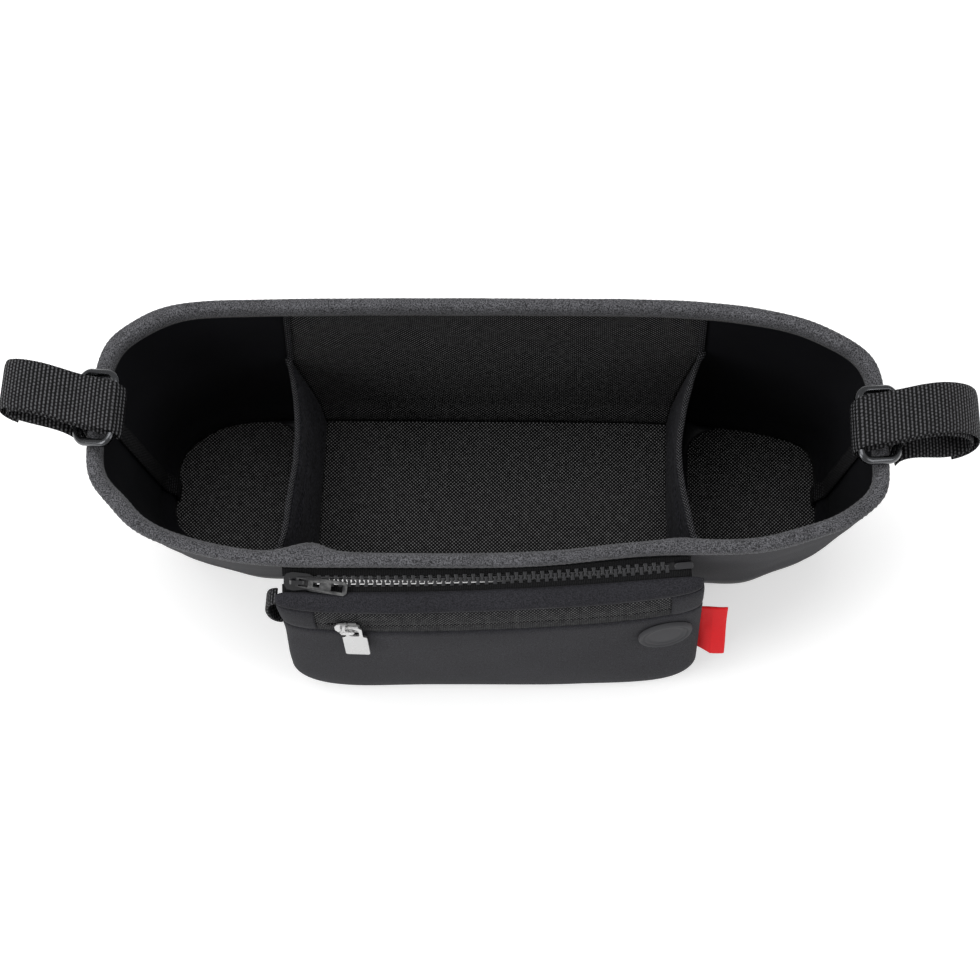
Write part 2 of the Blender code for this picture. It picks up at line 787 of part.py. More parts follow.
def strap_paths(strap):
    """Middle lines of the whole strap and of the hook strip between its layers."""
    fold = above_rim(RING_INNER)
    radius = RING_WIRE + GAP + WEB_THICKNESS / 2
    under = [above_rim((RING_OUTER[0] + UNDER_RUN, RING_OUTER[1] + UNDER_RISE)),
             Vector((fold.x, fold.y - radius))]
    inner = catmull_rom([above_rim(point) for point in strap["loop"]] + under, STRAP_STEPS)
    normals = strap_normals(inner)
    outer = []
    hook = []
    last = len(inner) - 1
    for i in range(last, int(last * STRAP_TAIL), -1):
        spacing = layer_spacing(inner[i].x)
        outer.append(inner[i] + normals[i] * spacing)
        if HOOK_START < inner[i].x < HOOK_END and inner[i].y > TUB_HEIGHT + HOOK_RISE and i > last * HOOK_SHARE:
            hook.append(inner[i] + normals[i] * spacing / 2)
    bend = []
    for step in range(1, 6):
        angle = math.radians(-90.0 - 180.0 * step / 6)
        bend.append(fold + Vector((math.cos(angle), math.sin(angle))) * radius)
    return inner + bend + outer, hook


def build_strip(name, strap, samples, width, thickness, finish):
    """Webbing that follows samples in the strap's plane."""
    def place(u, v):
        point = read_path(samples, u)
        return strap_place(strap, point.x, point.y, blend(-width / 2, width / 2, v))

    sheet(name, len(samples) - 1, 1, place, thickness, finish, offset=0.0)


def ring_points(strap):
    """Middle line of the wire ring that lies over the end of the rim."""
    inner = above_rim(RING_INNER)
    outer = above_rim(RING_OUTER)
    middle = (inner + outer) / 2
    slope = (outer - inner).normalized()
    half = (outer - inner).length / 2
    points = []
    for x, y in rounded_box(half, RING_LENGTH / 2, RING_CORNER, 3):
        place = middle + slope * x
        points.append(strap_place(strap, place.x, place.y, y))
    return points


def tab_path():
    """Webbing tab: up the wall, round the ring's outer bar and down again."""
    bar = above_rim(RING_OUTER)
    radius = RING_WIRE + GAP + WEB_THICKNESS / 2
    inside = [above_rim(point) for point in TAB_UP] + [Vector((bar.x - radius, bar.y - TAB_SEAT))]
    arc = []
    for step in range(7):
        angle = math.radians(180.0 - 30.0 * step)
        arc.append(bar + Vector((math.cos(angle), math.sin(angle))) * radius)
    return inside + arc + [above_rim(point) for point in TAB_DOWN]


def build_straps():
    """Two carrying loops with their wire rings and tabs."""
    for name, strap in STRAPS.items():
        path, hook = strap_paths(strap)
        build_strip("strap_" + name, strap, path, WEB_WIDTH, WEB_THICKNESS, "webbing")
        build_strip("hook_strip_" + name, strap, hook, WEB_WIDTH - HOOK_MARGIN, HOOK_THICKNESS, "hook")
        add_tube("ring_" + name, ring_points(strap), RING_WIRE, "wire", closed=True, resolution=1)
        build_strip("ring_tab_" + name, strap, tab_path(), TAB_WIDTH, WEB_THICKNESS, "webbing")


# Front arc

def front_point(s, v, z):
    """Point by its run along the front, its distance towards the tub and its height."""
    turn = (s - APEX_X) / FRONT_RADIUS
    reach = FRONT_RADIUS - v
    return Vector((APEX_X + reach * math.sin(turn), APEX_Y + FRONT_RADIUS - reach * math.cos(turn), z))


def zip_point(s, across, rise):
    """Point in the tilted plane of the upper zip: across towards the tub, rise off the plane."""
    v = across * math.cos(ZIP_TILT) - rise * math.sin(ZIP_TILT)
    z = ZIP_Z + across * math.sin(ZIP_TILT) + rise * math.cos(ZIP_TILT)
    return front_point(s, v, z)


def tooth_outline(centre, side):
    """Plan of one tooth: a foot on the tape, a neck, and a head that hooks behind its two neighbours."""
    half = [(TOOTH_BASE, TOOTH_FOOT), (TOOTH_NECK, 0.0), (TOOTH_HEAD, -TOOTH_REACH)]
    right = [(centre + x, side * y) for x, y in half]
    left = [(centre - x, side * y) for x, y in reversed(half)]
    return right + left


def build_toothed_tape(name, side, path, rows):
    """Zip tape with its row of moulded teeth fused to the edge."""
    def place(u, v):
        s = blend(ZIP_TAPE_START, ZIP_TAPE_END, u)
        return path(s, v)

    tape = sheet(name, 12, rows, place, ZIP_TAPE, "teeth", offset=0.0)
    bm = bmesh.new()
    shift = 0.0 if side > 0 else TOOTH_PITCH / 2
    for index in range(TEETH_COUNT):
        centre = TEETH_START + shift + index * TOOTH_PITCH
        outline = tooth_outline(centre, side)
        low = [bm.verts.new(zip_point(s, across, -TOOTH_HEIGHT / 2)) for s, across in outline]
        high = [bm.verts.new(zip_point(s, across, TOOTH_HEIGHT / 2)) for s, across in outline]
        count = len(outline)
        bm.faces.new(low)
        bm.faces.new(high)
        for i in range(count):
            bm.faces.new((low[i], low[(i + 1) % count], high[(i + 1) % count], high[i]))
    teeth = add_object(name + "_teeth", mesh_from(bm, name + "_teeth"), smooth=False)
    return combine(tape, teeth, "UNION")


def outside_wall(x, z, depth):
    """Point on the front of the shell at x, moved in by a depth."""
    return wall_point(place_at_x(wall_point, x, z, depth, False), z, depth)


def body_tape_path(s, v):
    """Tub side of the zip: a strip from the teeth to the wall and a flange down the wall."""
    near = zip_point(s, TOOTH_TAPE_EDGE, 0.0)
    top_z = BINDING_BOTTOM - 3 * GAP - ZIP_TAPE
    skin = -(2 * GAP + ZIP_TAPE / 2)
    corner = outside_wall(near.x, top_z, skin)
    foot = outside_wall(near.x, top_z - ZIP_FLANGE, skin)
    clear = zip_point(s, SLIDER_WIDTH / 2 + GAP, 0.0)
    limit = near.lerp(corner, CLEAR_SHARE)
    if clear.y > limit.y:
        clear = limit
    return read_path([foot, corner, clear, near], v)


def pouch_tape_path(s, v):
    """Pouch side of the zip: a strip from the teeth and a flange down behind the front."""
    near = zip_point(s, -TOOTH_TAPE_EDGE, 0.0)
    corner = zip_point(s, -ZIP_TAPE_CORNER, 0.0)
    low_z = STRIP_TOP + ZIP_TAPE
    ease = 1 + FLANGE_EASE * (abs(s - POUCH_MIDDLE) / pouch_half(low_z)) ** 6
    depth = pouch_front_v(s, low_z) + (POUCH_SKIN + GAP + ZIP_TAPE) * ease
    foot = front_point(s, min(depth, POUCH_SEAM - ZIP_TAPE), low_z)
    return read_path([near, corner, foot], v)


def slider_outline(length, width):
    """Plan of a zip slider: broad shoulders at the mouth and a narrower tail."""
    half = length / 2
    side = width / 2
    return [(-half, side * 0.35), (-half * 0.8, side * 0.85), (-half * 0.35, side), (half * 0.7, side * 0.86),
            (half, side * 0.7), (half, -side * 0.7), (half * 0.7, -side * 0.86), (-half * 0.35, -side),
            (-half * 0.8, -side * 0.85), (-half, -side * 0.35)]


def arch(name, length, width, bar, base, opening):
    """Bail of a slider: an arch along X whose legs stand at the height called base."""
    half = length / 2
    top = base + opening + bar
    slope = bar
    outer = [(-half, base), (-half, top - slope), (-half + slope, top),
             (half - slope, top), (half, top - slope), (half, base)]
    inner = [(half - bar, base), (half - bar, base + opening), (-half + bar, base + opening), (-half + bar, base)]
    loops = [[Vector((x, y, z)) for x, z in outer + inner] for y in (-width / 2, width / 2)]
    return loft(name, loops, smooth=False)


def build_slider(name, finish, frame, length, width, channel_low, channel_high, slot, bail_length):
    """Zip slider: two plates on a wedge, side flanges and a bail."""
    outline = slider_outline(length, width)
    top = channel_high + SLIDER_PLATE
    body = prism(name, outline, channel_high, top, finish, frame)
    sink = SLIDER_PLATE / 2
    lower = prism(name + "_lower", outline, channel_low - SLIDER_PLATE, channel_low)
    wedge = prism(name + "_wedge", [(-length * 0.46, 0.0), (-length * 0.32, 0.0009), (-length * 0.16, 0.0),
                                    (-length * 0.32, -0.0009)], channel_low - sink, channel_high + sink)
    tools = [lower, wedge]
    flange = 0.0007
    for side in (-1, 1):
        inner = side * (width * 0.43 - flange)
        outer = side * width * 0.43
        y_low, y_high = min(inner, outer), max(inner, outer)
        x_low, x_high = -length * 0.12, length * 0.36
        tools.append(block(name + "_rail", (x_low, y_low, slot), (x_high, y_high, channel_high + sink)))
        tools.append(block(name + "_rail", (x_low, y_low, channel_low - sink), (x_high, y_high, -slot)))
    opening = 2 * (PIN_RADIUS + SLIDER_CLEAR)
    tools.append(arch(name + "_bail", bail_length, BAIL_WIDTH, BAIL_BAR, top - sink, opening + sink))
    for tool in tools:
        tool.parent = frame
        combine(body, tool, "UNION")
    return body


def build_attach_zip():
    """Separating zip: two toothed tapes, the box at its end, the slider and its pull."""
    build_toothed_tape("attach_tape_tub", 1, body_tape_path, 3)
    build_toothed_tape("attach_tape_pouch", -1, pouch_tape_path, 2)
    turn = (SLIDER_S - APEX_X) / FRONT_RADIUS
    place = Matrix.Translation(zip_point(SLIDER_S, 0.0, 0.0))
    tilt = Matrix.Rotation(turn, 4, "Z") @ Matrix.Rotation(ZIP_TILT, 4, "X")
    slider_frame = add_frame("attach_slider_frame", place @ tilt)
    channel = TOOTH_HEIGHT / 2 + SLIDER_CLEAR
    slot = ZIP_TAPE / 2 + SLIDER_CLEAR
    build_slider("attach_slider", "black_metal", slider_frame, SLIDER_LENGTH, SLIDER_WIDTH,
                 -channel, channel, slot, BAIL_LENGTH)
    pin_z = channel + SLIDER_PLATE + PIN_RADIUS + SLIDER_CLEAR
    pull_place = Matrix.Translation((0.0, 0.0, pin_z)) @ Matrix.Rotation(PULL_TURN, 4, "Z")
    pull_frame = add_frame("attach_pull_frame", place @ tilt @ pull_place)
    build_attach_pull(pull_frame)
    build_retaining_box()


def build_attach_pull(frame):
    """Pull with a pin under the bail, two arms and a long plate with two windows."""
    half = PULL_WIDTH / 2
    outline = [(-PIN_RADIUS, half * 0.62), (0.004, half * 0.80), (0.0065, half), (PULL_LENGTH - 0.0015, half),
               (PULL_LENGTH, half * 0.6), (PULL_LENGTH, -half * 0.6), (PULL_LENGTH - 0.0015, -half),
               (0.0065, -half), (0.004, -half * 0.80), (-PIN_RADIUS, -half * 0.62)]
    thin = PIN_RADIUS
    pull = prism("attach_pull", outline, -thin, PULL_THICKNESS - thin, "black_metal", frame)
    room = BAIL_WIDTH / 2 + SLIDER_CLEAR + BAIL_LENGTH / 2 * abs(math.sin(PULL_TURN))
    windows = [((PIN_RADIUS, -room, -0.01), (0.0052, room, 0.01)),
               ((0.0075, -0.0011, -0.01), (0.0105, 0.0011, 0.01)),
               ((0.0160, -0.0019, -0.01), (0.0215, 0.0019, 0.01))]
    for low, high in windows:
        tool = block("window", low, high)
        tool.parent = frame
        combine(pull, tool, "DIFFERENCE")
    return pull


def build_retaining_box():
    """Box that holds the zip's pin at the right end."""
    start = TEETH_START + TOOTH_PITCH * (TEETH_COUNT + 0.4)
    middle = start + BOX_LENGTH / 2
    turn = (middle - APEX_X) / FRONT_RADIUS
    tilt = Matrix.Rotation(turn, 4, "Z") @ Matrix.Rotation(ZIP_TILT, 4, "X")
    frame = add_frame("retaining_box_frame", Matrix.Translation(zip_point(middle, 0.0, 0.0)) @ tilt)
    outline = rounded_box(BOX_LENGTH / 2, BOX_WIDTH / 2, 0.0010, 2)
    prism("retaining_box", outline, -BOX_HEIGHT / 2, BOX_HEIGHT / 2, "teeth", frame)


# Pouch surface

def pouch_half(z):
    """Half of the pouch's length at a height, with round corners."""
    half = POUCH_LENGTH / 2
    above = z - POUCH_BOTTOM
    below = POUCH_TOP - z
    if above < POUCH_CORNER:
        drop = POUCH_CORNER - max(above, 0.0)
        half -= POUCH_CORNER - math.sqrt(max(POUCH_CORNER ** 2 - drop ** 2, 0.0))
    if below < POUCH_TOP_CORNER:
        drop = POUCH_TOP_CORNER - max(below, 0.0)
        half -= POUCH_TOP_CORNER - math.sqrt(max(POUCH_TOP_CORNER ** 2 - drop ** 2, 0.0))
    return half


def pouch_swell(z):
    """Share of the full depth at a height."""
    share = (z - POUCH_BOTTOM) / (POUCH_TOP - POUCH_BOTTOM)
    swell = max(1 - abs(2 * share - 1) ** POUCH_ROUND, 0.0) ** (1 / POUCH_ROUND)
    return max(swell, TOP_LIP if share > 0.5 else BOTTOM_LIP)


def pouch_back_depth(z):
    share = (z - POUCH_BOTTOM) / (POUCH_TOP - POUCH_BOTTOM)
    return POUCH_BACK_DEPTH + POUCH_BACK_GAIN * (1 - share)


def pouch_section(angle, z, depth=0.0):
    """Point at a depth in the pouch's skin: angle 0 is its right end, a half turn its left, the front between."""
    half = pouch_half(z) - depth
    sine = math.sin(angle)
    bulge = ((POUCH_FRONT_DEPTH if sine < 0 else pouch_back_depth(z)) - depth) * pouch_swell(z)
    s = POUCH_MIDDLE + half * signed_power(math.cos(angle), 2 / POUCH_END_ROUND)
    v = POUCH_SEAM + bulge * signed_power(sine, 2 / POUCH_END_ROUND)
    level = min(max(z, POUCH_BOTTOM + depth), POUCH_TOP - depth)
    return front_point(s, v, level)


def pouch_front_v(s, z):
    """Place of the pouch's front skin across the arc, at a run s."""
    reach = min(abs(s - POUCH_MIDDLE) / pouch_half(z), 1.0)
    side = max(1 - reach ** POUCH_END_ROUND, 0.0) ** (1 / POUCH_END_ROUND)
    return POUCH_SEAM - POUCH_FRONT_DEPTH * pouch_swell(z) * side


def pouch_front(s, z, proud=0.0):
    """Point of the pouch's front skin at a run s, moved out by proud."""
    return front_point(s, pouch_front_v(s, z) - proud, z)


def panel_level(low, high, share):
    """Heights that crowd towards the pouch's ends, between two heights."""
    def to_angle(z):
        part = 2 * (z - POUCH_BOTTOM) / (POUCH_TOP - POUCH_BOTTOM) - 1
        return math.asin(math.copysign(min(abs(part), 1.0) ** (POUCH_ROUND / 2), part))

    angle = blend(to_angle(low), to_angle(high), share)
    part = signed_power(math.sin(angle), 2 / POUCH_ROUND)
    return POUCH_BOTTOM + (POUCH_TOP - POUCH_BOTTOM) * (part + 1) / 2


def build_pouch_panel(name, low, high, rows, front):
    """Foam skin of the pouch between two heights, on its front or its back."""
    start = math.pi if front else 0.0

    def skin(depth):
        def place(u, v):
            return pouch_section(start + blend(END_EDGE, math.pi - END_EDGE, u), panel_level(low, high, v), depth)
        return place

    return slab(name, POUCH_ACROSS, rows, skin(0.0), skin(POUCH_SKIN), "foam")


def strip_edge(s):
    """Half of the slit between the two halves of the coil zip, with the mouth beside the slider."""
    mouth = max(1 - abs((s - POUCH_SLIDER_S + POUCH_SLIDER_LENGTH * 0.34) / MOUTH_LENGTH) ** 2, 0.0)
    return PANEL_GAP / 2 + MOUTH_WIDTH * mouth


def build_zip_strip(name, side):
    """One half of the woven strip: flat outside, with the coil standing on its inner side."""
    outer_z = STRIP_TOP - PANEL_GAP if side > 0 else STRIP_BOTTOM + PANEL_GAP

    def place(u, v):
        s = blend(STRIP_START + PANEL_GAP, STRIP_END - PANEL_GAP, u)
        inner_z = STRIP_SPLIT + side * (strip_edge(s) + STRIP_THICKNESS / 2)
        inset = STRIP_THICKNESS / 2 + POUCH_SKIN * 0.3
        if v < 0.5:
            z = blend(outer_z, inner_z, v * 2)
            return pouch_front(s, z, -inset)
        return pouch_front(s, inner_z, -inset - COIL_DEPTH * (v - 0.5) * 2)

    return sheet(name, 14, 2, place, STRIP_THICKNESS, "weave", offset=0.0)


def build_end_tabs():
    """Foam tabs that close the strip at both ends."""
    for name, sign, limit in (("left", -1, STRIP_START - PANEL_GAP), ("right", 1, STRIP_END + PANEL_GAP)):
        def skin(depth, sign=sign, limit=limit):
            def place(u, v):
                z = blend(STRIP_BOTTOM + PANEL_GAP, STRIP_TOP - PANEL_GAP, v)
                start = abs(limit - POUCH_MIDDLE) / (pouch_half(z) - depth)
                angle = blend(END_EDGE, math.acos(start ** (POUCH_END_ROUND / 2)), u)
                return pouch_section(-angle if sign > 0 else math.pi + angle, z, depth)
            return place

        slab("zip_end_tab_" + name, END_TAB_STEPS, 1, skin(0.0), skin(POUCH_SKIN), "foam")


def pouch_tilt_frame(name, s, z, proud):
    """Frame on the pouch's front: X along it, Y up it and Z out of it."""
    here = pouch_front(s, z)
    along = (pouch_front(s + 0.001, z) - pouch_front(s - 0.001, z)).normalized()
    up = (pouch_front(s, z + 0.001) - pouch_front(s, z - 0.001)).normalized()
    out = along.cross(up).normalized()
    up = out.cross(along)
    axes = Matrix((along, up, out)).transposed().to_4x4()
    return add_frame(name, Matrix.Translation(here + out * proud) @ axes)


def build_pouch_zip():
    build_zip_strip("pouch_zip_upper", 1)
    build_zip_strip("pouch_zip_lower", -1)
    build_end_tabs()
    inset = STRIP_THICKNESS / 2 + POUCH_SKIN * 0.3
    frame = pouch_tilt_frame("pouch_slider_frame", POUCH_SLIDER_S, STRIP_SPLIT, -inset)
    high = inset + SLIDER_CLEAR
    low = -(STRIP_THICKNESS / 2 + COIL_DEPTH + 2 * SLIDER_CLEAR)
    slot = STRIP_THICKNESS / 2 + SLIDER_CLEAR
    body = build_slider("pouch_slider", "silver", frame, POUCH_SLIDER_LENGTH, POUCH_SLIDER_WIDTH,
                        low, high, slot, BAIL_LENGTH)
    build_pouch_pull(body, high)


def build_pouch_pull(body, high):
    """Flat pull that hangs from the bail's right leg by its eye."""
    level = high + SLIDER_PLATE + SLIDER_CLEAR
    pivot = BAIL_LENGTH / 2 - BAIL_BAR / 2
    place = body.parent.matrix_world @ Matrix.Translation((pivot, 0.0, level))
    frame = add_frame("pouch_pull_frame", place)
    eye_half = PULL_EYE_WIDTH / 2
    plate_half = PULL_PLATE_WIDTH / 2
    crown = PULL_EYE_LENGTH - 0.0068
    neck = crown - PULL_EYE_LENGTH
    end = neck - PULL_PLATE_LENGTH
    outline = [(eye_half - 0.0015, crown), (eye_half, crown - 0.0015), (eye_half, neck + 0.001),
               (plate_half, neck), (plate_half, end + 0.0008), (plate_half - 0.0008, end),
               (0.0008 - plate_half, end), (-plate_half, end + 0.0008), (-plate_half, neck),
               (-eye_half, neck + 0.001), (-eye_half, crown - 0.0015), (0.0015 - eye_half, crown)]
    pull = prism("pouch_pull", outline, 0.0, PULL_PLATE_THICKNESS, "silver", frame)
    hole_half = eye_half - PULL_EYE_BAR
    hole = prism("eye", [(x, y + (crown + neck) / 2) for x, y in
                         rounded_box(hole_half, PULL_EYE_LENGTH / 2 - PULL_EYE_BAR, 0.0010, 2)], -0.01, 0.01)
    hole.parent = frame
    return combine(pull, hole, "DIFFERENCE")


def build_badge():
    """Round rubber badge that follows the pouch's front, with a raised rim and a bare middle."""
    def face(lift, radius):
        def place(u, v):
            angle = -2 * math.pi * u
            reach = radius * v
            z = BADGE_Z + reach * math.sin(angle)
            return pouch_front(BADGE_S + reach * math.cos(angle), z, GAP + lift)
        return place

    badge = sheet("badge", 16, 2, face(0.0, BADGE_RADIUS), BADGE_THICKNESS, "rubber", offset=1.0, closed=True)

    def ring_place(u, v):
        angle = -2 * math.pi * u
        reach = blend(BADGE_RADIUS * 0.80, BADGE_RADIUS * 0.97, v)
        z = BADGE_Z + reach * math.sin(angle)
        lift = GAP + BADGE_THICKNESS * 0.6
        return pouch_front(BADGE_S + reach * math.cos(angle), z, lift)

    ring = sheet("badge_ring", 16, 1, ring_place, BADGE_THICKNESS * 0.4 + BADGE_RING, "rubber",
                 offset=1.0, closed=True)
    return combine(badge, ring, "UNION")


def build_tag():
    """Folded cloth tag caught in the pouch's right seam."""
    start = POUCH_END + GAP

    def place(u, v):
        z = TAG_Z + blend(-TAG_LENGTH / 2, TAG_LENGTH / 2, v)
        curl = 0.0015 * math.sin(math.pi * u * 0.5) ** 2
        return front_point(start + TAG_REACH * u, POUCH_SEAM - curl, z)

    return sheet("side_tag", 3, 2, place, TAG_THICKNESS, "red", offset=0.0)


def build_wrist_tab():
    """Small webbing loop in the pouch's left seam."""
    start = POUCH_START - GAP

    def place(u, v):
        angle = math.pi * u
        reach = WRIST_REACH * math.sin(angle) ** 0.8
        rise = WRIST_LENGTH / 2 * math.cos(angle)
        return front_point(start - reach, POUCH_SEAM + blend(-0.004, 0.004, v), WRIST_Z - rise)

    return sheet("wrist_tab", 8, 1, place, WRIST_THICKNESS, "webbing", offset=0.0)


def build_pouch():
    back_top = STRIP_TOP - 2 * GAP
    build_pouch_panel("pouch_upper_panel", STRIP_TOP, POUCH_TOP, 3, True)
    build_pouch_panel("pouch_lower_panel", POUCH_BOTTOM, STRIP_BOTTOM, 7, True)
    build_pouch_panel("pouch_back_panel", POUCH_BOTTOM, back_top, 5, False)
    build_pouch_zip()
    build_badge()
    build_tag()
    build_wrist_tab()


def build():
    clear_objects()
    build_base_panel()
    build_welt()
    build_shell()
    build_binding()
    build_liners()
    build_floors()
    build_dividers()
    build_end_tapes()
    build_straps()
    build_attach_zip()
    build_pouch()


build()
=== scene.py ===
import json
import math

import bmesh
import bpy
from bpy.props import FloatProperty, FloatVectorProperty, PointerProperty
from mathutils import Matrix, Vector, noise

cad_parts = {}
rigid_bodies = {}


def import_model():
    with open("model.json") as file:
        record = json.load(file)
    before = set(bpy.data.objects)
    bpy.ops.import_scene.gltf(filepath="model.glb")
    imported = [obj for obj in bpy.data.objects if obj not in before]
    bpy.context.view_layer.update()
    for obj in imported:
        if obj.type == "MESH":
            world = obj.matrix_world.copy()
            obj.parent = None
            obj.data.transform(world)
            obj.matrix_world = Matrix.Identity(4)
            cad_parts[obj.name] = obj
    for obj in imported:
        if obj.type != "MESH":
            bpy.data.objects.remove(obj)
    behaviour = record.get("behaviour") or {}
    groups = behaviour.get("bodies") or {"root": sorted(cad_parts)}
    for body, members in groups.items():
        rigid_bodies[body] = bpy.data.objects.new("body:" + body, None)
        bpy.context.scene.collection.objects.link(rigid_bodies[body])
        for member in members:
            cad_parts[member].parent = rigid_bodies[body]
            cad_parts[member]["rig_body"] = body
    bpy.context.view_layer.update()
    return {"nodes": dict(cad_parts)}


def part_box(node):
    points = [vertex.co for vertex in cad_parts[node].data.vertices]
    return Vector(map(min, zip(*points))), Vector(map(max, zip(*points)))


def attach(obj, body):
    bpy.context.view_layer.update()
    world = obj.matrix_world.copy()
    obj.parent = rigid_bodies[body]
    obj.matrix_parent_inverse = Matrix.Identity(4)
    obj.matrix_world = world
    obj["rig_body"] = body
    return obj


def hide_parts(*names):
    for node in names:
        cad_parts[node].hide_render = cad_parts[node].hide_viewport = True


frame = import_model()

bl_info = {
    "name": "Pushchair Organizer",
    "version": (1, 0, 0),
    "blender": (4, 5, 0),
    "location": "View3D > Sidebar > Organizer",
    "description": "Dresses a pushchair organizer: foam tub, lining, zips, pouch and webbing loops",
    "category": "Object",
}

# Sizes of the solids, which the cloth follows
GAP = 0.0003
TUB_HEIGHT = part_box("rim_binding")[1].z
RIM_LENGTH = 0.380
RIM_BACK = 0.048
RIM_FRONT = -0.0945
BASE_LENGTH = 0.352
BASE_DEPTH = 0.098
CORNER_BACK_LEFT = 4.8
CORNER_BACK_RIGHT = 3.5
CORNER_FRONT = 3.1
CORNER_BASE = 4.0
PULL_IN = 0.0062
PULL_IN_X = 0.082
PUSH_OUT = 0.0032
PUSH_OUT_X = -0.110
PULL_SPREAD = 0.045
FINE_STEPS = 3000
AROUND = 240
# Where the sewn outline leaves the plain one: angle in degrees, depth inward, spread in degrees
RIM_SHAPING = ((20, -0.0026, 13), (45, -0.0007, 12), (75, -0.0006, 20), (128, -0.0035, 17),
               (157, -0.0019, 13), (203, 0.0049, 15), (316, 0.0013, 9), (346, -0.0022, 9))
FOOT_SHAPING = ((22, -0.0016, 14), (130, -0.0034, 18), (243, -0.0020, 8), (301, -0.0034, 9))

SHELL_THICKNESS = 0.0030
LINING_THICKNESS = 0.0008
BAND_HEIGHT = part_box("base_panel")[1].z
BAND_THICKNESS = 0.0030
WELT_RADIUS = 0.0014
SHELL_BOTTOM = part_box("outer_shell")[0].z
SHELL_TUCK = 0.0022
TUCK_RISE = 0.0090
FLOOR_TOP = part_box("floor_centre")[1].z
LINING_BOTTOM = FLOOR_TOP + GAP
LINING_DEPTH = 0.0035
LINING_EASE_TOP = 0.0233
FOOT_DEPTH = 0.0058
SEAM_BACKS = {"left": 0.0995, "right": 0.1068}
SEAM_FRONT = 0.0979

BINDING_WIDTH = 0.0070
BINDING_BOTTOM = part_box("rim_binding")[0].z

DIVIDER_FOOT_X = 0.0925
DIVIDER_THICKNESS = 0.0034
DIVIDER_BEAD = 0.0014
DIVIDER_SHAPES = {
    "left": {"side": -1, "back": (0.1040, 0.0745), "middle": (0.0885, 0.0930), "front": (0.0960, 0.1160)},
    "right": {"side": 1, "back": (0.1070, 0.0865), "middle": (0.0850, 0.0960), "front": (0.1005, 0.1170)},
}
DIVIDER_CLEAR = 0.0016
DIVIDER_CURVE = 1.3
DIVIDER_KNOB = 1.45
DIVIDER_STEPS = 44
DIVIDER_ROWS = 36
TAPE_WIDTH = 0.0100
TAPE_DEPTH = 0.0023
TRIM_THICKNESS = 0.0008

# Webbing loops
WEB_THICKNESS = 0.0016
WEB_WIDTH = 0.0264
WEB_LEAN = math.radians(16.0)
HOOK_THICKNESS = 0.0012
TAB_WIDTH = 0.0240
RING_WIRE = 0.0020
RING_LENGTH = 0.0372
RING_CORNER = 0.0055
RING_INNER = (-0.0145, 0.1385)
RING_OUTER = (0.0046, 0.1302)
RING_SIDES = 20
TURN_RADIUS = RING_WIRE + GAP + WEB_THICKNESS / 2
STRAPS = {
    "left": {
        "side": -1,
        "y": -0.0140,
        "fold_out": 0.0014,
        "loop": [(0.0058, 0.1140), (0.0080, 0.1195), (0.0125, 0.1228), (0.0182, 0.1240), (0.0250, 0.1240),
                 (0.0325, 0.1236), (0.0385, 0.1242), (0.0418, 0.1272), (0.0400, 0.1312), (0.0335, 0.1347),
                 (0.0240, 0.1364), (0.0140, 0.1362), (0.0046, 0.1352)],
    },
    "right": {
        "side": 1,
        "y": -0.0205,
        "fold_out": 0.0,
        "loop": [(0.0060, 0.1105), (0.0082, 0.1142), (0.0122, 0.1148), (0.0176, 0.1130), (0.0240, 0.1096),
                 (0.0310, 0.1060), (0.0385, 0.1042), (0.0438, 0.1070), (0.0444, 0.1145), (0.0385, 0.1235),
                 (0.0280, 0.1310), (0.0165, 0.1345), (0.0046, 0.1352)],
    },
}
STRAP_TAIL = 0.40
FOLD_DROOP = 0.0032
STRAP_STEPS = 120

# Front arc with the upper zip
FRONT_RADIUS = 1.450
APEX_X = -0.072
APEX_Y = -0.0971
ZIP_Z = 0.1185
ZIP_TILT = math.radians(35.0)
TOOTH_PITCH = 0.0040
TOOTH_REACH = 0.00115
TOOTH_FOOT = 0.00270
TOOTH_TAPE_EDGE = 0.00195
TOOTH_HEIGHT = 0.0024
TOOTH_BASE = 0.00100
TOOTH_NECK = 0.00048
TOOTH_HEAD = 0.00115
TOOTH_BEVEL = 0.00022
TEETH_START = -0.0832
TEETH_COUNT = 43
ZIP_TAPE = 0.0009
ZIP_TAPE_START = -0.0925
ZIP_TAPE_END = 0.0980
ZIP_FLANGE = 0.0070
FLANGE_EASE = 1.3
SLIDER_WIDTH = 0.0088

# Pouch
POUCH_MIDDLE = 0.0025
POUCH_LENGTH = 0.2030
POUCH_BOTTOM = 0.0006
POUCH_TOP = ZIP_Z - 0.0012
POUCH_CORNERS = {-1: 0.031, 1: 0.024}
POUCH_TOP_CORNER = 0.007
POUCH_SEAM = -0.0055
LEFT_EASE = 0.0012
LEFT_PINCH = 0.0026
LEFT_PINCH_Z = 0.085
LEFT_PINCH_SPREAD = 0.030
SWAY_IN = 0.0038
SWAY_OUT = 0.0028
LIP_LEAN = 0.0022
LIP_HEIGHT = 0.0035
POUCH_FRONT_DEPTH = 0.0112
POUCH_BACK_DEPTH = 0.0030
POUCH_BACK_GAIN = 0.0090
POUCH_ROUND = 4.6
POUCH_END_ROUND = 4.2
POUCH_SKIN = 0.0020
BOTTOM_LIP = 0.035
TOP_LIP = 0.15
END_EDGE = 0.002
STRIP_TOP = 0.1115
STRIP_BOTTOM = 0.0928
STRIP_SPLIT = 0.1000
STRIP_START = -0.0780
STRIP_END = 0.0880
STRIP_THICKNESS = 0.0010
STRIP_HEM = 0.0036
POUCH_SLIDER_S = -0.0630
POUCH_SLIDER_LENGTH = 0.0120
MOUTH_LENGTH = 0.0060
MOUTH_WIDTH = 0.0012

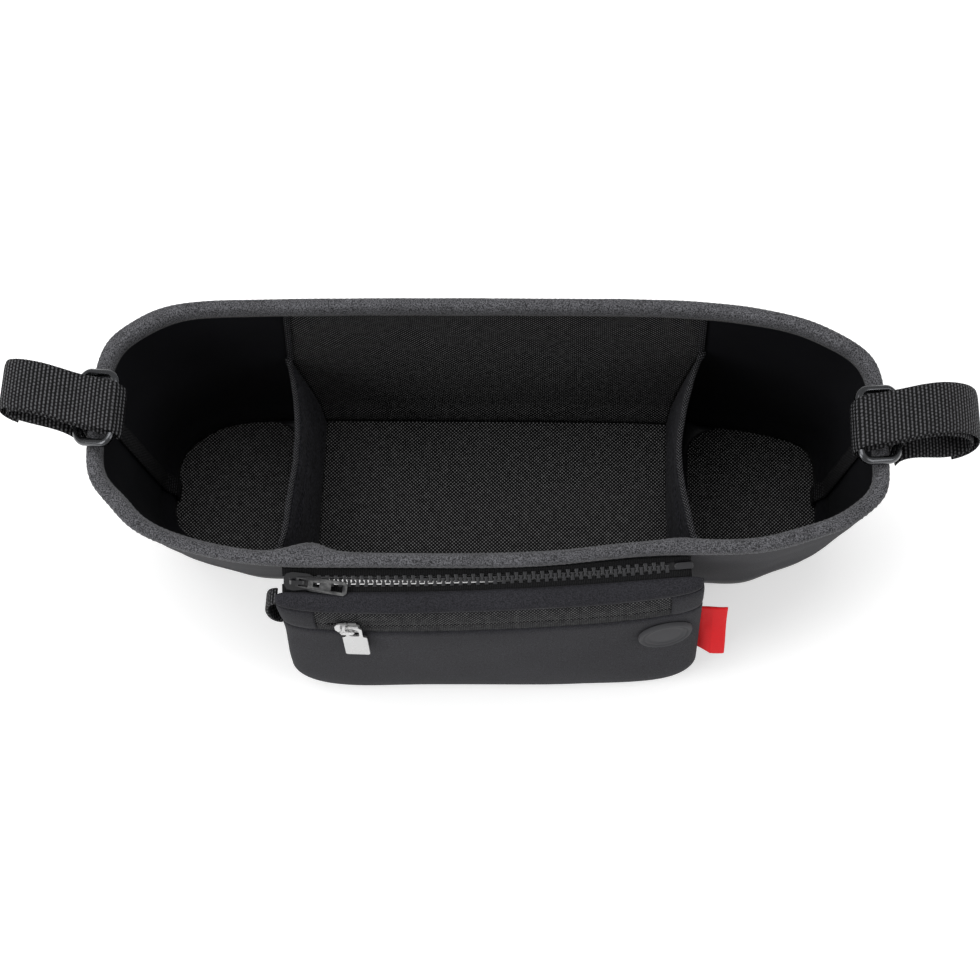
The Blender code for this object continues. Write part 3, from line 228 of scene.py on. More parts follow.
# Trim
BADGE_S = 0.0860
BADGE_Z = 0.0730
BADGE_RADIUS = 0.0130
TAG_LENGTH = 0.0460
TAG_REACH = 0.0130
TAG_THICKNESS = 0.0010
TAG_Z = 0.0545
TAG_LEAN = 0.0045
WRIST_LENGTH = 0.0230
WRIST_Z = 0.1004
WRIST_REACH = 0.0060
WRIST_THICKNESS = 0.0014
WRIST_WIDTH = 0.0080
SEAM_CATCH = 0.0008

# Camera of the photograph
CAMERA_ELEVATION = math.radians(65.0)
CAMERA_YAW = math.radians(6.0)
CAMERA_ROLL = math.radians(-5.0)
CAMERA_DISTANCE = 1.0489
CAMERA_TARGET = Vector((0.0007, -0.0252, 0.0652))
CAMERA_LENS = 76.78
SENSOR = 36.0

# Stage: name, place, aim, size and power of each lamp
LAMPS = (
    ("lamp_overhead", (-0.15, 0.25, 1.5), (0.0, 0.0, 0.0), (1.4, 1.0), 13.0),
    ("lamp_left", (-1.1, -0.7, 0.9), (0.0, 0.0, 0.05), (0.9, 0.9), 10.5),
    ("lamp_right", (1.2, -0.4, 0.8), (0.0, 0.0, 0.05), (0.8, 0.8), 5.0),
)
FLOOR_HALF = 3.0
FLOOR_GREY = (0.80, 0.80, 0.80, 1.0)
FLOOR_GLOW = 0.44
WORLD_LEVEL = 0.45


def length_property(name, description, default):
    return FloatProperty(name=name, description=description, default=default, unit="LENGTH")


def colour_property(name, description, default):
    return FloatVectorProperty(name=name, description=description, default=default, size=3, min=0, max=1,
                               subtype="COLOR")


class OrganizerSizes(bpy.types.PropertyGroup):
    """Sizes that a user would change."""
    weave_pitch: length_property("Weave pitch", "Distance between threads of the coarse weave", 0.00140)
    rib_pitch: length_property("Rib pitch", "Distance between ribs of the webbing", 0.00205)
    knit_grain: length_property("Knit grain", "Size of the knit's fuzz", 0.00060)
    wall_waviness: length_property("Wall waviness", "How far the foam wall waves in and out", 0.00060)
    pouch_pucker: length_property("Pouch pucker", "Depth of the puckers beside the pouch's zips", 0.00045)


class OrganizerColours(bpy.types.PropertyGroup):
    """Colours that a user would change."""
    foam: colour_property("Foam cloth", "Face of the foam walls and the pouch", (0.0203, 0.0201, 0.0240))
    knit: colour_property("Knit binding", "Binding round the rim", (0.074, 0.074, 0.080))
    divider: colour_property("Divider cloth", "Knit on the two dividers", (0.0105, 0.0105, 0.0130))
    lining: colour_property("Cup lining", "Smooth lining of the cup pockets", (0.0052, 0.0053, 0.0068))
    weave: colour_property("Weave thread", "Raised threads of the coarse weave", (0.185, 0.185, 0.187))
    # The weave gap colour is painted shade in the gaps between threads.
    weave_gap_shade: colour_property("Weave gap", "Gaps of the weave and the webbing", (0.0022, 0.0022, 0.0025))
    webbing: colour_property("Webbing", "Raised threads of the webbing", (0.102, 0.102, 0.108))
    base: colour_property("Base sheet", "Coated sheet of the base", (0.010, 0.010, 0.011))
    ring: colour_property("Ring wire", "Wire rings of the strap loops", (0.075, 0.077, 0.082))
    zip_black: colour_property("Zip black", "Moulded teeth and enamelled slider", (0.018, 0.018, 0.020))
    silver: colour_property("Silver metal", "Slider and pull of the pouch", (0.50, 0.50, 0.50))
    tag: colour_property("Side tag", "Cloth tag in the pouch's side seam", (0.90, 0.018, 0.024))


# Form helpers

def blend(start, end, share):
    return start + (end - start) * share


def ease(share):
    share = min(max(share, 0.0), 1.0)
    return share * share * (3 - 2 * share)


def bell(distance, spread):
    return math.exp(-(distance / spread) ** 2)


def signed_power(value, power):
    return math.copysign(abs(value) ** power, value)


def waves(point, size, seed=0.0):
    """Soft irregular waves from -1 to 1 at a point."""
    return noise.noise(Vector((point[0] / size + seed, point[1] / size, point[2] / size)))


def catmull_rom(points, steps):
    """Even samples of a smooth curve through the points."""
    padded = [points[0] * 2 - points[1]] + points + [points[-1] * 2 - points[-2]]
    spans = len(points) - 1
    samples = []
    for step in range(steps + 1):
        place = step / steps * spans
        index = min(int(place), spans - 1)
        t = place - index
        a, b, c, d = padded[index:index + 4]
        samples.append(0.5 * (2 * b + (c - a) * t + (2 * a - 5 * b + 4 * c - d) * t ** 2
                              + (3 * b - a - 3 * c + d) * t ** 3))
    return samples


def path_lengths(samples):
    lengths = [0.0]
    for first, second in zip(samples, samples[1:]):
        lengths.append(lengths[-1] + (second - first).length)
    return lengths


def read_path(samples, share):
    place = min(max(share, 0.0), 1.0) * (len(samples) - 1)
    index = min(int(place), len(samples) - 2)
    return samples[index].lerp(samples[index + 1], place - index)


def rounded_box(half_x, half_y, corner, steps):
    """Outline of a rectangle with round corners about the origin."""
    points = []
    for turn, (sign_x, sign_y) in enumerate(((1, 1), (-1, 1), (-1, -1), (1, -1))):
        for step in range(steps + 1):
            angle = math.radians(90.0 * (turn + step / steps))
            points.append((sign_x * (half_x - corner) + corner * math.cos(angle),
                           sign_y * (half_y - corner) + corner * math.sin(angle)))
    return points


# Tub outline

def shaping_table(shapings):
    """Depths at every degree round the tub."""
    table = []
    for degree in range(361):
        table.append(sum(size * bell((degree - centre + 180) % 360 - 180, spread)
                         for centre, size, spread in shapings))
    return table


RIM_TABLE = shaping_table(RIM_SHAPING)
FOOT_TABLE = shaping_table(FOOT_SHAPING)


def shaping(angle, share):
    degree = math.degrees(angle) % 360
    index = int(degree)
    foot = blend(FOOT_TABLE[index], FOOT_TABLE[index + 1], degree - index)
    rim = blend(RIM_TABLE[index], RIM_TABLE[index + 1], degree - index)
    return blend(foot, rim, share)


def tub_point(angle, z, inset):
    """Point of the tub's wall at an angle round it, at height z and a depth below its outer face."""
    share = z / TUB_HEIGHT
    inset = inset + shaping(angle, share)
    cosine = math.cos(angle)
    sine = math.sin(angle)
    half_length = blend(BASE_LENGTH, RIM_LENGTH, share) / 2 - inset
    back = blend(BASE_DEPTH / 2, RIM_BACK, share) - inset
    front = blend(-BASE_DEPTH / 2, RIM_FRONT, share) + inset
    corner_back = blend(CORNER_BACK_LEFT, CORNER_BACK_RIGHT, (cosine + 1) / 2)
    corner_rim = blend(CORNER_FRONT, corner_back, (sine + 1) / 2)
    corner = blend(CORNER_BASE, corner_rim, min(max(share, 0.0), 1.0))
    x = half_length * signed_power(cosine, 2 / corner)
    across = signed_power(sine, 2 / corner)
    y = (back + front) / 2 + (back - front) / 2 * across
    if across < 0:
        pull = PULL_IN * bell(x - PULL_IN_X, PULL_SPREAD)
        push = PUSH_OUT * bell(x - PUSH_OUT_X, PULL_SPREAD)
        y += (pull - push) * share ** 2 * -across
    return Vector((x, y, z))


def even_angles():
    """Angles at even steps along the rim, and the step's length."""
    angles = [2 * math.pi * i / FINE_STEPS for i in range(FINE_STEPS + 1)]
    lengths = path_lengths([tub_point(angle, TUB_HEIGHT, 0.0) for angle in angles])
    found = []
    index = 0
    for step in range(AROUND):
        target = lengths[-1] * step / AROUND
        while lengths[index + 1] < target:
            index += 1
        share = (target - lengths[index]) / (lengths[index + 1] - lengths[index])
        found.append(blend(angles[index], angles[index + 1], share))
    return found, lengths[-1] / AROUND


ANGLES, STEP_LENGTH = even_angles()


def angle_at(place):
    """Angle at a place round the rim, counted in even steps from the right end."""
    index = math.floor(place)
    turns, first = divmod(index, AROUND)
    start = ANGLES[first]
    end = ANGLES[first + 1] if first + 1 < AROUND else 2 * math.pi
    return 2 * math.pi * turns + blend(start, end, place - index)


def tuck(z):
    return SHELL_TUCK * (1 - ease((z - SHELL_BOTTOM) / TUCK_RISE))


def wall_point(place, z, depth):
    return tub_point(angle_at(place), z, tuck(z) + depth)


def lining_point(place, z, depth):
    """Point on the lining, which leaves the wall near the floor."""
    upper_z = max(z, LINING_EASE_TOP)
    point = wall_point(place, upper_z, LINING_DEPTH + depth)
    if z < LINING_EASE_TOP:
        foot = tub_point(angle_at(place), 0.0, FOOT_DEPTH + depth)
        share = max((z - SHELL_BOTTOM) / (LINING_EASE_TOP - SHELL_BOTTOM), 0.0)
        point = foot.lerp(point, share)
    point.z = z
    return point


def place_at_x(point_at, x, z, depth, back):
    """Place round the rim at which a layer stands at x, on the back or the front side."""
    low, high = (0.0, AROUND / 2) if back else (float(AROUND), AROUND / 2)
    for _ in range(40):
        middle = (low + high) / 2
        if point_at(middle, z, depth).x > x:
            low = middle
        else:
            high = middle
    return (low + high) / 2


def lining_y(x, z, depth, back):
    return lining_point(place_at_x(lining_point, x, z, depth, back), z, depth).y


# Front arc and pouch outline

def front_point(s, v, z):
    """Point by its run along the front, its distance towards the tub and its height."""
    turn = (s - APEX_X) / FRONT_RADIUS
    reach = FRONT_RADIUS - v
    return Vector((APEX_X + reach * math.sin(turn), APEX_Y + FRONT_RADIUS - reach * math.cos(turn), z))


def zip_point(s, across, rise):
    """Point in the tilted plane of the upper zip: across towards the tub, rise off the plane."""
    v = across * math.cos(ZIP_TILT) - rise * math.sin(ZIP_TILT)
    z = ZIP_Z + across * math.sin(ZIP_TILT) + rise * math.cos(ZIP_TILT)
    return front_point(s, v, z)


def pouch_half(z, side):
    """Distance from the pouch's middle to its left (-1) or right (1) end, with round corners."""
    half = POUCH_LENGTH / 2
    for room, corner in ((z - POUCH_BOTTOM, POUCH_CORNERS[side]), (POUCH_TOP - z, POUCH_TOP_CORNER)):
        if room < corner:
            drop = corner - max(room, 0.0)
            half -= corner - math.sqrt(max(corner ** 2 - drop ** 2, 0.0))
    if side < 0:
        half -= LEFT_EASE + LEFT_PINCH * bell(z - LEFT_PINCH_Z, LEFT_PINCH_SPREAD)
    return half


def pouch_side(s):
    return 1 if s > POUCH_MIDDLE else -1


def pouch_sway(s, z):
    """How far the pouch's foot swings towards the tub on the left and away from it at the right end."""
    fall = min(max((STRIP_BOTTOM - z) / (STRIP_BOTTOM - POUCH_BOTTOM), 0.0), 1.0) ** 1.5
    return fall * (SWAY_IN * bell(s + 0.030, 0.050) - SWAY_OUT * ease((s - 0.045) / 0.055))


def pouch_swell(z):
    share = (z - POUCH_BOTTOM) / (POUCH_TOP - POUCH_BOTTOM)
    swell = max(1 - abs(2 * share - 1) ** POUCH_ROUND, 0.0) ** (1 / POUCH_ROUND)
    return max(swell, TOP_LIP if share > 0.5 else BOTTOM_LIP)


def pouch_back_depth(z):
    share = (z - POUCH_BOTTOM) / (POUCH_TOP - POUCH_BOTTOM)
    return POUCH_BACK_DEPTH + POUCH_BACK_GAIN * (1 - share)


def pouch_section(angle, z, depth=0.0):
    """Point at a depth in the pouch's skin: angle 0 is its right end, half a turn its left."""
    cosine = math.cos(angle)
    sine = math.sin(angle)
    half = pouch_half(z, 1 if cosine > 0 else -1) - depth
    bulge = ((POUCH_FRONT_DEPTH if sine < 0 else pouch_back_depth(z)) - depth) * pouch_swell(z)
    s = POUCH_MIDDLE + half * signed_power(cosine, 2 / POUCH_END_ROUND)
    v = POUCH_SEAM + bulge * signed_power(sine, 2 / POUCH_END_ROUND) + pouch_sway(s, z)
    if sine < 0:
        v += LIP_LEAN * ease((z - POUCH_TOP + LIP_HEIGHT) / LIP_HEIGHT) * math.sqrt(-sine)
    level = min(max(z, POUCH_BOTTOM + depth), POUCH_TOP - depth)
    return front_point(s, v, level)


def pouch_front_v(s, z):
    reach = min(abs(s - POUCH_MIDDLE) / pouch_half(z, pouch_side(s)), 1.0)
    side = max(1 - reach ** POUCH_END_ROUND, 0.0) ** (1 / POUCH_END_ROUND)
    return POUCH_SEAM - POUCH_FRONT_DEPTH * pouch_swell(z) * side + pouch_sway(s, z)


def pouch_front(s, z, proud=0.0):
    return front_point(s, pouch_front_v(s, z) - proud, z)


def panel_level(low, high, share):
    """Heights that crowd towards the pouch's ends, between two heights."""
    def to_angle(z):
        part = 2 * (z - POUCH_BOTTOM) / (POUCH_TOP - POUCH_BOTTOM) - 1
        return math.asin(math.copysign(min(abs(part), 1.0) ** (POUCH_ROUND / 2), part))

    angle = blend(to_angle(low), to_angle(high), share)
    part = signed_power(math.sin(angle), 2 / POUCH_ROUND)
    return POUCH_BOTTOM + (POUCH_TOP - POUCH_BOTTOM) * (part + 1) / 2


# Mesh helpers

def mesh_from(bm, name, outward=False):
    """Mesh of all that bm holds, with its faces turned outward where that is asked."""
    if outward:
        bmesh.ops.recalc_face_normals(bm, faces=bm.faces)
    mesh = bpy.data.meshes.new(name)
    bm.to_mesh(mesh)
    bm.free()
    return mesh


def grid_mesh(name, steps, rows, place, size, ring=False, tube=False):
    """Quads laid out by place(u, v), closed along u as a ring or along v as a tube, with UVs in metres."""
    bm = bmesh.new()
    columns = steps if ring else steps + 1
    lines = rows if tube else rows + 1
    grid = [[bm.verts.new(place(i / steps, j / rows)) for j in range(lines)] for i in range(columns)]
    uv = bm.loops.layers.uv.new("UVMap")
    for i in range(steps):
        for j in range(rows):
            k = (i + 1) % columns
            m = (j + 1) % lines
            face = bm.faces.new((grid[i][j], grid[k][j], grid[k][m], grid[i][m]))
            corners = ((i, j), (i + 1, j), (i + 1, j + 1), (i, j + 1))
            for loop, (a, b) in zip(face.loops, corners):
                loop[uv].uv = (a / steps * size[0], b / rows * size[1])
    return mesh_from(bm, name)


def add_piece(name, data, material, nodes=(), body="organizer"):
    """Link a piece, give it its material and let it ride on its body."""
    piece = bpy.data.objects.new(name, data)
    bpy.context.scene.collection.objects.link(piece)
    if isinstance(data, bpy.types.Mesh):
        data.shade_smooth()
    data.materials.append(material)
    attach(piece, body)
    if nodes:
        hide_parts(*nodes)
    return piece


def thicken(piece, thickness, offset=0.0, edge=0.0):
    """Give a sheet its thickness and soft edges."""
    solid = piece.modifiers.new("Thickness", "SOLIDIFY")
    solid.thickness = thickness
    solid.offset = offset
    solid.use_even_offset = True
    if edge:
        bevel = piece.modifiers.new("Edges", "BEVEL")
        bevel.width = edge
        bevel.segments = 2
        bevel.limit_method = "ANGLE"
        bevel.angle_limit = math.radians(50.0)


def node_copy(node, name, material, bevel):
    """A CAD node's solid with softened edges, as its own piece."""
    source = frame["nodes"][node]
    bm = bmesh.new()
    bm.from_mesh(source.data)
    bmesh.ops.remove_doubles(bm, verts=bm.verts, dist=0.000002)
    bmesh.ops.dissolve_limit(bm, angle_limit=math.radians(1.0), verts=bm.verts, edges=bm.edges)
    mesh = mesh_from(bm, name)
    piece = add_piece(name, mesh, material, [node], source["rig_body"])
    mesh.set_sharp_from_angle(angle=math.radians(40.0))
    softened = piece.modifiers.new("Bevel", "BEVEL")
    softened.width = bevel
    softened.segments = 3
    softened.limit_method = "ANGLE"
    softened.angle_limit = math.radians(28.0)
    softened.harden_normals = True


# Shader groups, each built once

def new_group(name, inputs, outputs):
    """Node group whose sockets' kinds follow from their values; returns it with both ends' sockets."""
    group = bpy.data.node_groups.new(name, "ShaderNodeTree")
    for label, value in inputs.items():
        kind = "Vector" if value is None else "Color" if isinstance(value, tuple) else "Float"
        socket = group.interface.new_socket(label, in_out="INPUT", socket_type="NodeSocket" + kind)
        if value is not None:
            socket.default_value = value
    for label in outputs:
        kind = "Color" if label == "Colour" else "Float"
        group.interface.new_socket(label, in_out="OUTPUT", socket_type="NodeSocket" + kind)
    return group, group.nodes.new("NodeGroupInput").outputs, group.nodes.new("NodeGroupOutput").inputs


def fill(tree, socket, value):
    """Link or set one input."""
    if isinstance(value, bpy.types.NodeSocket):
        tree.links.new(value, socket)
    else:
        socket.default_value = value


def math_node(tree, operation, *values):
    node = tree.nodes.new("ShaderNodeMath")
    node.operation = operation
    for socket, value in zip(node.inputs, values):
        fill(tree, socket, value)
    return node.outputs[0]


def noise_node(tree, vector, scale, detail=2.0, roughness=0.5):
    node = tree.nodes.new("ShaderNodeTexNoise")
    fill(tree, node.inputs["Vector"], vector)
    fill(tree, node.inputs["Scale"], scale)
    node.inputs["Detail"].default_value = detail
    node.inputs["Roughness"].default_value = roughness
    return node.outputs["Fac"]


def range_node(tree, value, low, high, to_low=0.0, to_high=1.0):
    node = tree.nodes.new("ShaderNodeMapRange")
    node.interpolation_type = "SMOOTHSTEP"
    for socket, given in zip(node.inputs, (value, low, high, to_low, to_high)):
        fill(tree, socket, given)
    return node.outputs[0]


def mix_colour(tree, factor, first, second, kind="MIX"):
    node = tree.nodes.new("ShaderNodeMix")
    node.data_type = "RGBA"
    node.blend_type = kind
    fill(tree, node.inputs["Factor"], factor)
    fill(tree, node.inputs["A"], first)
    fill(tree, node.inputs["B"], second)
    return node.outputs["Result"]


def put_threads(group, given, out, height, low, high):
    """Put out a cloth's height, and its colour from the painted shade of the gaps to the raised threads,
    whose crests carry a painted highlight.
    """
    # Low places take the gaps' painted shade, high places the thread colour with its painted highlight.
    share = range_node(group, height, low, high)
    fill(group, out["Colour"], mix_colour(group, share, given["Gap"], given["Thread"]))
    fill(group, out["Height"], height)


def build_weave_group():
    """Plain weave: raised threads in a chequer over gaps painted in shade, a little uneven."""
    group, given, out = new_group("plain_weave", {
        "Vector": None, "Pitch": 0.0014, "Thread": (0.06, 0.06, 0.06, 1.0), "Gap": (0.004, 0.004, 0.004, 1.0),
        "Unevenness": 0.35}, ("Colour", "Height"))
    parts = group.nodes.new("ShaderNodeSeparateXYZ")
    fill(group, parts.inputs[0], given["Vector"])
    turns = math_node(group, "DIVIDE", math.sqrt(2) * math.pi, given["Pitch"])
    warp = math_node(group, "SINE", math_node(group, "MULTIPLY", parts.outputs[0], turns))
    weft = math_node(group, "SINE", math_node(group, "MULTIPLY", parts.outputs[1], turns))
    thread = math_node(group, "MULTIPLY_ADD", math_node(group, "MULTIPLY", warp, weft), 0.5, 0.5)
    rough = noise_node(group, given["Vector"], math_node(group, "DIVIDE", 0.45, given["Pitch"]), 3.0)
    change = math_node(group, "MULTIPLY", math_node(group, "SUBTRACT", rough, 0.5), given["Unevenness"])
    put_threads(group, given, out, math_node(group, "ADD", thread, change), 0.50, 1.00)


def build_ribs_group():
    """Webbing: ribs across the length, each one a row of beads that step by half a bead."""
    group, given, out = new_group("webbing_ribs", {
        "Vector": None, "Pitch": 0.00205, "Bead": 0.0016, "Thread": (0.06, 0.06, 0.065, 1.0),
        "Gap": (0.004, 0.004, 0.004, 1.0)}, ("Colour", "Height"))
    parts = group.nodes.new("ShaderNodeSeparateXYZ")
    fill(group, parts.inputs[0], given["Vector"])
    along = math_node(group, "DIVIDE", parts.outputs[0], given["Pitch"])
    rib = math_node(group, "ABSOLUTE", math_node(group, "SINE", math_node(group, "MULTIPLY", along, math.pi)))
    row = math_node(group, "MULTIPLY", math_node(group, "FLOOR", along), math.pi / 2)
    across = math_node(group, "DIVIDE", parts.outputs[1], given["Bead"])
    across = math_node(group, "MULTIPLY", across, math.pi)
    bead = math_node(group, "ABSOLUTE", math_node(group, "SINE", math_node(group, "ADD", across, row)))
    shaped = math_node(group, "MULTIPLY_ADD", bead, 0.40, 0.60)
    rough = noise_node(group, given["Vector"], 900.0, 3.0)
    height = math_node(group, "MULTIPLY", math_node(group, "MULTIPLY", rib, shaped),
                       math_node(group, "MULTIPLY_ADD", rough, 1.1, 0.45))
    # The beads' crests get the painted highlight, the gaps between ribs the painted shade.
    put_threads(group, given, out, height, 0.48, 1.08)


def build_fuzz_group():
    """Knit and foam faces: fine fuzz over soft blotches, from a dark root to a pale tip."""
    group, given, out = new_group("cloth_fuzz", {
        "Vector": None, "Grain": 0.0006, "Blotch": 0.02, "Blotch Amount": 0.25,
        "Root": (0.03, 0.03, 0.03, 1.0), "Tip": (0.06, 0.06, 0.06, 1.0)}, ("Colour", "Height"))
    fine = noise_node(group, given["Vector"], math_node(group, "DIVIDE", 1.0, given["Grain"]), 3.0, 0.6)
    wide = noise_node(group, given["Vector"], math_node(group, "DIVIDE", 1.0, given["Blotch"]), 3.0, 0.55)
    colour = mix_colour(group, range_node(group, fine, 0.36, 0.66), given["Root"], given["Tip"])
    spread = math_node(group, "MULTIPLY", math_node(group, "SUBTRACT", wide, 0.5), given["Blotch Amount"])
    tone = math_node(group, "MULTIPLY_ADD", spread, 2.0, 1.0)
    grey = group.nodes.new("ShaderNodeCombineColor")
    for socket in grey.inputs[:3]:
        fill(group, socket, tone)
    fill(group, out["Colour"], mix_colour(group, 1.0, colour, grey.outputs[0], "MULTIPLY"))
    fill(group, out["Height"], fine)


def build_worn_highlit_group():
    """Edges painted lighter, partly as wear and partly as painted highlight, and small marks on moulded and
    metal parts.
    """
    group, given, out = new_group("rubbed_edges", {
        "Vector": None, "Mark Size": 0.002, "Base": (0.02, 0.02, 0.02, 1.0), "Rubbed": (0.2, 0.2, 0.2, 1.0),
        "Roughness": 0.3}, ("Colour", "Roughness"))
    surface = group.nodes.new("ShaderNodeNewGeometry")
    # Convex edges found by pointiness are painted lighter: partly edge wear, partly painted highlight.
    edge = range_node(group, surface.outputs["Pointiness"], 0.58, 0.72)
    marks = noise_node(group, given["Vector"], math_node(group, "DIVIDE", 1.0, given["Mark Size"]), 4.0, 0.6)
    worn_highlight = math_node(group, "MULTIPLY", edge, range_node(group, marks, 0.35, 0.65, 0.4, 1.0))
    fill(group, out["Colour"], mix_colour(group, worn_highlight, given["Base"], given["Rubbed"]))
    change = math_node(group, "SUBTRACT", marks, 0.5)
    fill(group, out["Roughness"], math_node(group, "MULTIPLY_ADD", change, 0.22, given["Roughness"]))


GROUP_BUILDERS = {
    "plain_weave": build_weave_group,
    "webbing_ribs": build_ribs_group,
    "cloth_fuzz": build_fuzz_group,
    "rubbed_edges": build_worn_highlit_group,
}


def group_node(tree, name, values):
    """Place a shader group, which is built at its first use."""
    if name not in bpy.data.node_groups:
        GROUP_BUILDERS[name]()
    node = tree.nodes.new("ShaderNodeGroup")
    node.node_tree = bpy.data.node_groups[name]
    for label, value in values.items():
        fill(tree, node.inputs[label], value)
    return node


# Finishes

def rgba(colour, factor=1.0):
    return (colour[0] * factor, colour[1] * factor, colour[2] * factor, 1.0)


def new_finish(name, roughness, metallic=0.0, sheen=0.0, specular=0.5, coat=0.0):
    """Material with its plain numbers on the shader's own sockets."""
    material = bpy.data.materials.new(name)
    material.use_nodes = True
    shader = material.node_tree.nodes["Principled BSDF"]
    for label, value in (("Roughness", roughness), ("Metallic", metallic), ("Sheen Weight", sheen),
                         ("Sheen Roughness", 0.5), ("Specular IOR Level", specular), ("Coat Weight", coat)):
        shader.inputs[label].default_value = value
    return material, material.node_tree, shader


def cloth_finish(name, group, kind, values, roughness, depth, sheen=0.0, specular=0.3):
    """Cloth whose colour and bump come from a shader group, laid by UV or Object coordinates."""
    material, tree, shader = new_finish(name, roughness, sheen=sheen, specular=specular)
    values["Vector"] = tree.nodes.new("ShaderNodeTexCoord").outputs[kind]
    cloth = group_node(tree, group, values)
    fill(tree, shader.inputs["Base Color"], cloth.outputs["Colour"])
    bump = tree.nodes.new("ShaderNodeBump")
    bump.inputs["Strength"].default_value = 1.0
    bump.inputs["Distance"].default_value = depth
    fill(tree, bump.inputs["Height"], cloth.outputs["Height"])
    fill(tree, shader.inputs["Normal"], bump.outputs["Normal"])
    return material


def hard_finish(name, base, worn_highlight, roughness, metallic, coat, mark_size):
    """Finish for wire, teeth, sliders and rubber, with edges painted lighter as wear and as painted
    highlight.
    """
    material, tree, shader = new_finish(name, roughness, metallic, coat=coat)
    shader.inputs["Coat Roughness"].default_value = 0.12
    place = tree.nodes.new("ShaderNodeTexCoord").outputs["Object"]
    rub = group_node(tree, "rubbed_edges", {
        "Vector": place, "Mark Size": mark_size, "Base": base, "Rubbed": worn_highlight, "Roughness": roughness})
    fill(tree, shader.inputs["Base Color"], rub.outputs["Colour"])
    fill(tree, shader.inputs["Roughness"], rub.outputs["Roughness"])
    return material


# Colour, its share at root and tip, grain share, blotch size and amount, roughness, bump, sheen, specular
FUZZ_FINISHES = {
    "foam_cloth": ("foam", 0.50, 1.50, 0.9, 0.040, 0.28, 0.78, 0.00006, 0.03, 0.12),
    "knit_binding": ("knit", 0.22, 1.78, 1.05, 0.012, 0.32, 0.92, 0.00035, 0.12, 0.10),
    "divider_knit": ("divider", 0.05, 2.60, 2.4, 0.020, 0.40, 0.90, 0.00030, 0.02, 0.06),
    "cup_lining": ("lining", 0.80, 1.20, 0.6, 0.030, 0.30, 0.50, 0.00003, 0.0, 0.35),
    "hook_tape": ("divider", 0.25, 1.10, 1.6, 0.010, 0.20, 0.85, 0.00045, 0.0, 0.3),
    "base_sheet": ("base", 0.85, 1.15, 1.0, 0.025, 0.20, 0.52, 0.00005, 0.0, 0.45),
}
CARD_ROOT = (0.16, 0.15, 0.14, 1.0)
CARD_TIP = (0.22, 0.21, 0.20, 1.0)
# Thread colour and share, colour and share of the gaps' painted shade, pitch share, roughness, bump,
# unevenness
WEAVE_FINISHES = {
    "coarse_weave": ("weave", 1.0, "weave_gap_shade", 1.0, 1.0, 0.72, 0.00030, 0.35),
    "divider_edge_knit": ("knit", 1.70, "weave_gap_shade", 1.0, 0.95, 0.80, 0.00035, 0.35),
    "strip_weave": ("weave", 0.62, "foam", 0.25, 0.85, 0.75, 0.00020, 0.7),
    "tag_cloth": ("tag", 1.0, "tag", 0.80, 0.45, 0.62, 0.00008, 0.5),
}
# Share of the webbing's colour, pitch share, bead share, roughness, bump
RIB_FINISHES = {
    "webbing_cloth": (1.0, 1.0, 0.9, 0.62, 0.00032),
    "seam_tape_cloth": (0.45, 0.8, 0.8, 0.70, 0.00022),
    "zip_tape_cloth": (0.20, 0.4, 0.6, 0.75, 0.00012),
}
# Base colour and share, lighter edge colour (edge wear and painted highlight), roughness, metallic, coat,
# size of the marks
HARD_FINISHES = {
    "ring_wire": ("ring", 1.0, (0.20, 0.20, 0.21, 1.0), 0.26, 1.0, 0.3, 0.002),
    "moulded_tooth": ("zip_black", 1.2, (0.10, 0.10, 0.10, 1.0), 0.40, 0.0, 0.05, 0.002),
    "slider_enamel": ("zip_black", 0.6, (0.12, 0.12, 0.12, 1.0), 0.20, 0.0, 0.5, 0.002),
    "silver_plate": ("silver", 1.0, (0.80, 0.80, 0.80, 1.0), 0.30, 1.0, 0.0, 0.004),
    "badge_rubber": ("foam", 0.55, (0.07, 0.07, 0.075, 1.0), 0.46, 0.0, 0.0, 0.003),
}


def colour(key, share=1.0):
    return rgba(getattr(bpy.context.scene.organizer_colours, key), share)


def fuzz_values(root, tip, grain, blotch, amount):
    return {"Root": root, "Tip": tip, "Grain": grain, "Blotch": blotch, "Blotch Amount": amount}


def build_finish(name):
    sizes = bpy.context.scene.organizer_sizes
    if name in FUZZ_FINISHES:
        key, root, tip, grain, blotch, amount, roughness, depth, sheen, specular = FUZZ_FINISHES[name]
        values = fuzz_values(colour(key, root), colour(key, tip), sizes.knit_grain * grain, blotch, amount)
        return cloth_finish(name, "cloth_fuzz", "Object", values, roughness, depth, sheen, specular)
    if name == "board_card":
        values = fuzz_values(CARD_ROOT, CARD_TIP, sizes.knit_grain, 0.020, 0.15)
        return cloth_finish(name, "cloth_fuzz", "Object", values, 0.80, 0.00004)
    if name in WEAVE_FINISHES:
        thread, thread_share, gap, gap_share, pitch, roughness, depth, unevenness = WEAVE_FINISHES[name]
        values = {"Pitch": sizes.weave_pitch * pitch, "Thread": colour(thread, thread_share),
                  "Gap": colour(gap, gap_share), "Unevenness": unevenness}
        return cloth_finish(name, "plain_weave", "UV", values, roughness, depth, specular=0.10)
    if name in RIB_FINISHES:
        share, pitch, bead, roughness, depth = RIB_FINISHES[name]
        values = {"Pitch": sizes.rib_pitch * pitch, "Bead": sizes.rib_pitch * bead,
                  "Thread": colour("webbing", share), "Gap": colour("weave_gap_shade")}
        return cloth_finish(name, "webbing_ribs", "UV", values, roughness, depth, specular=0.12)
    if name in HARD_FINISHES:
        key, share, *rest = HARD_FINISHES[name]
        return hard_finish(name, colour(key, share), *rest)
    raise ValueError("no finish called " + name)


def finish(name):
    """A finish by name, built at its first use."""
    return bpy.data.materials.get(name) or build_finish(name)


# Tub pieces

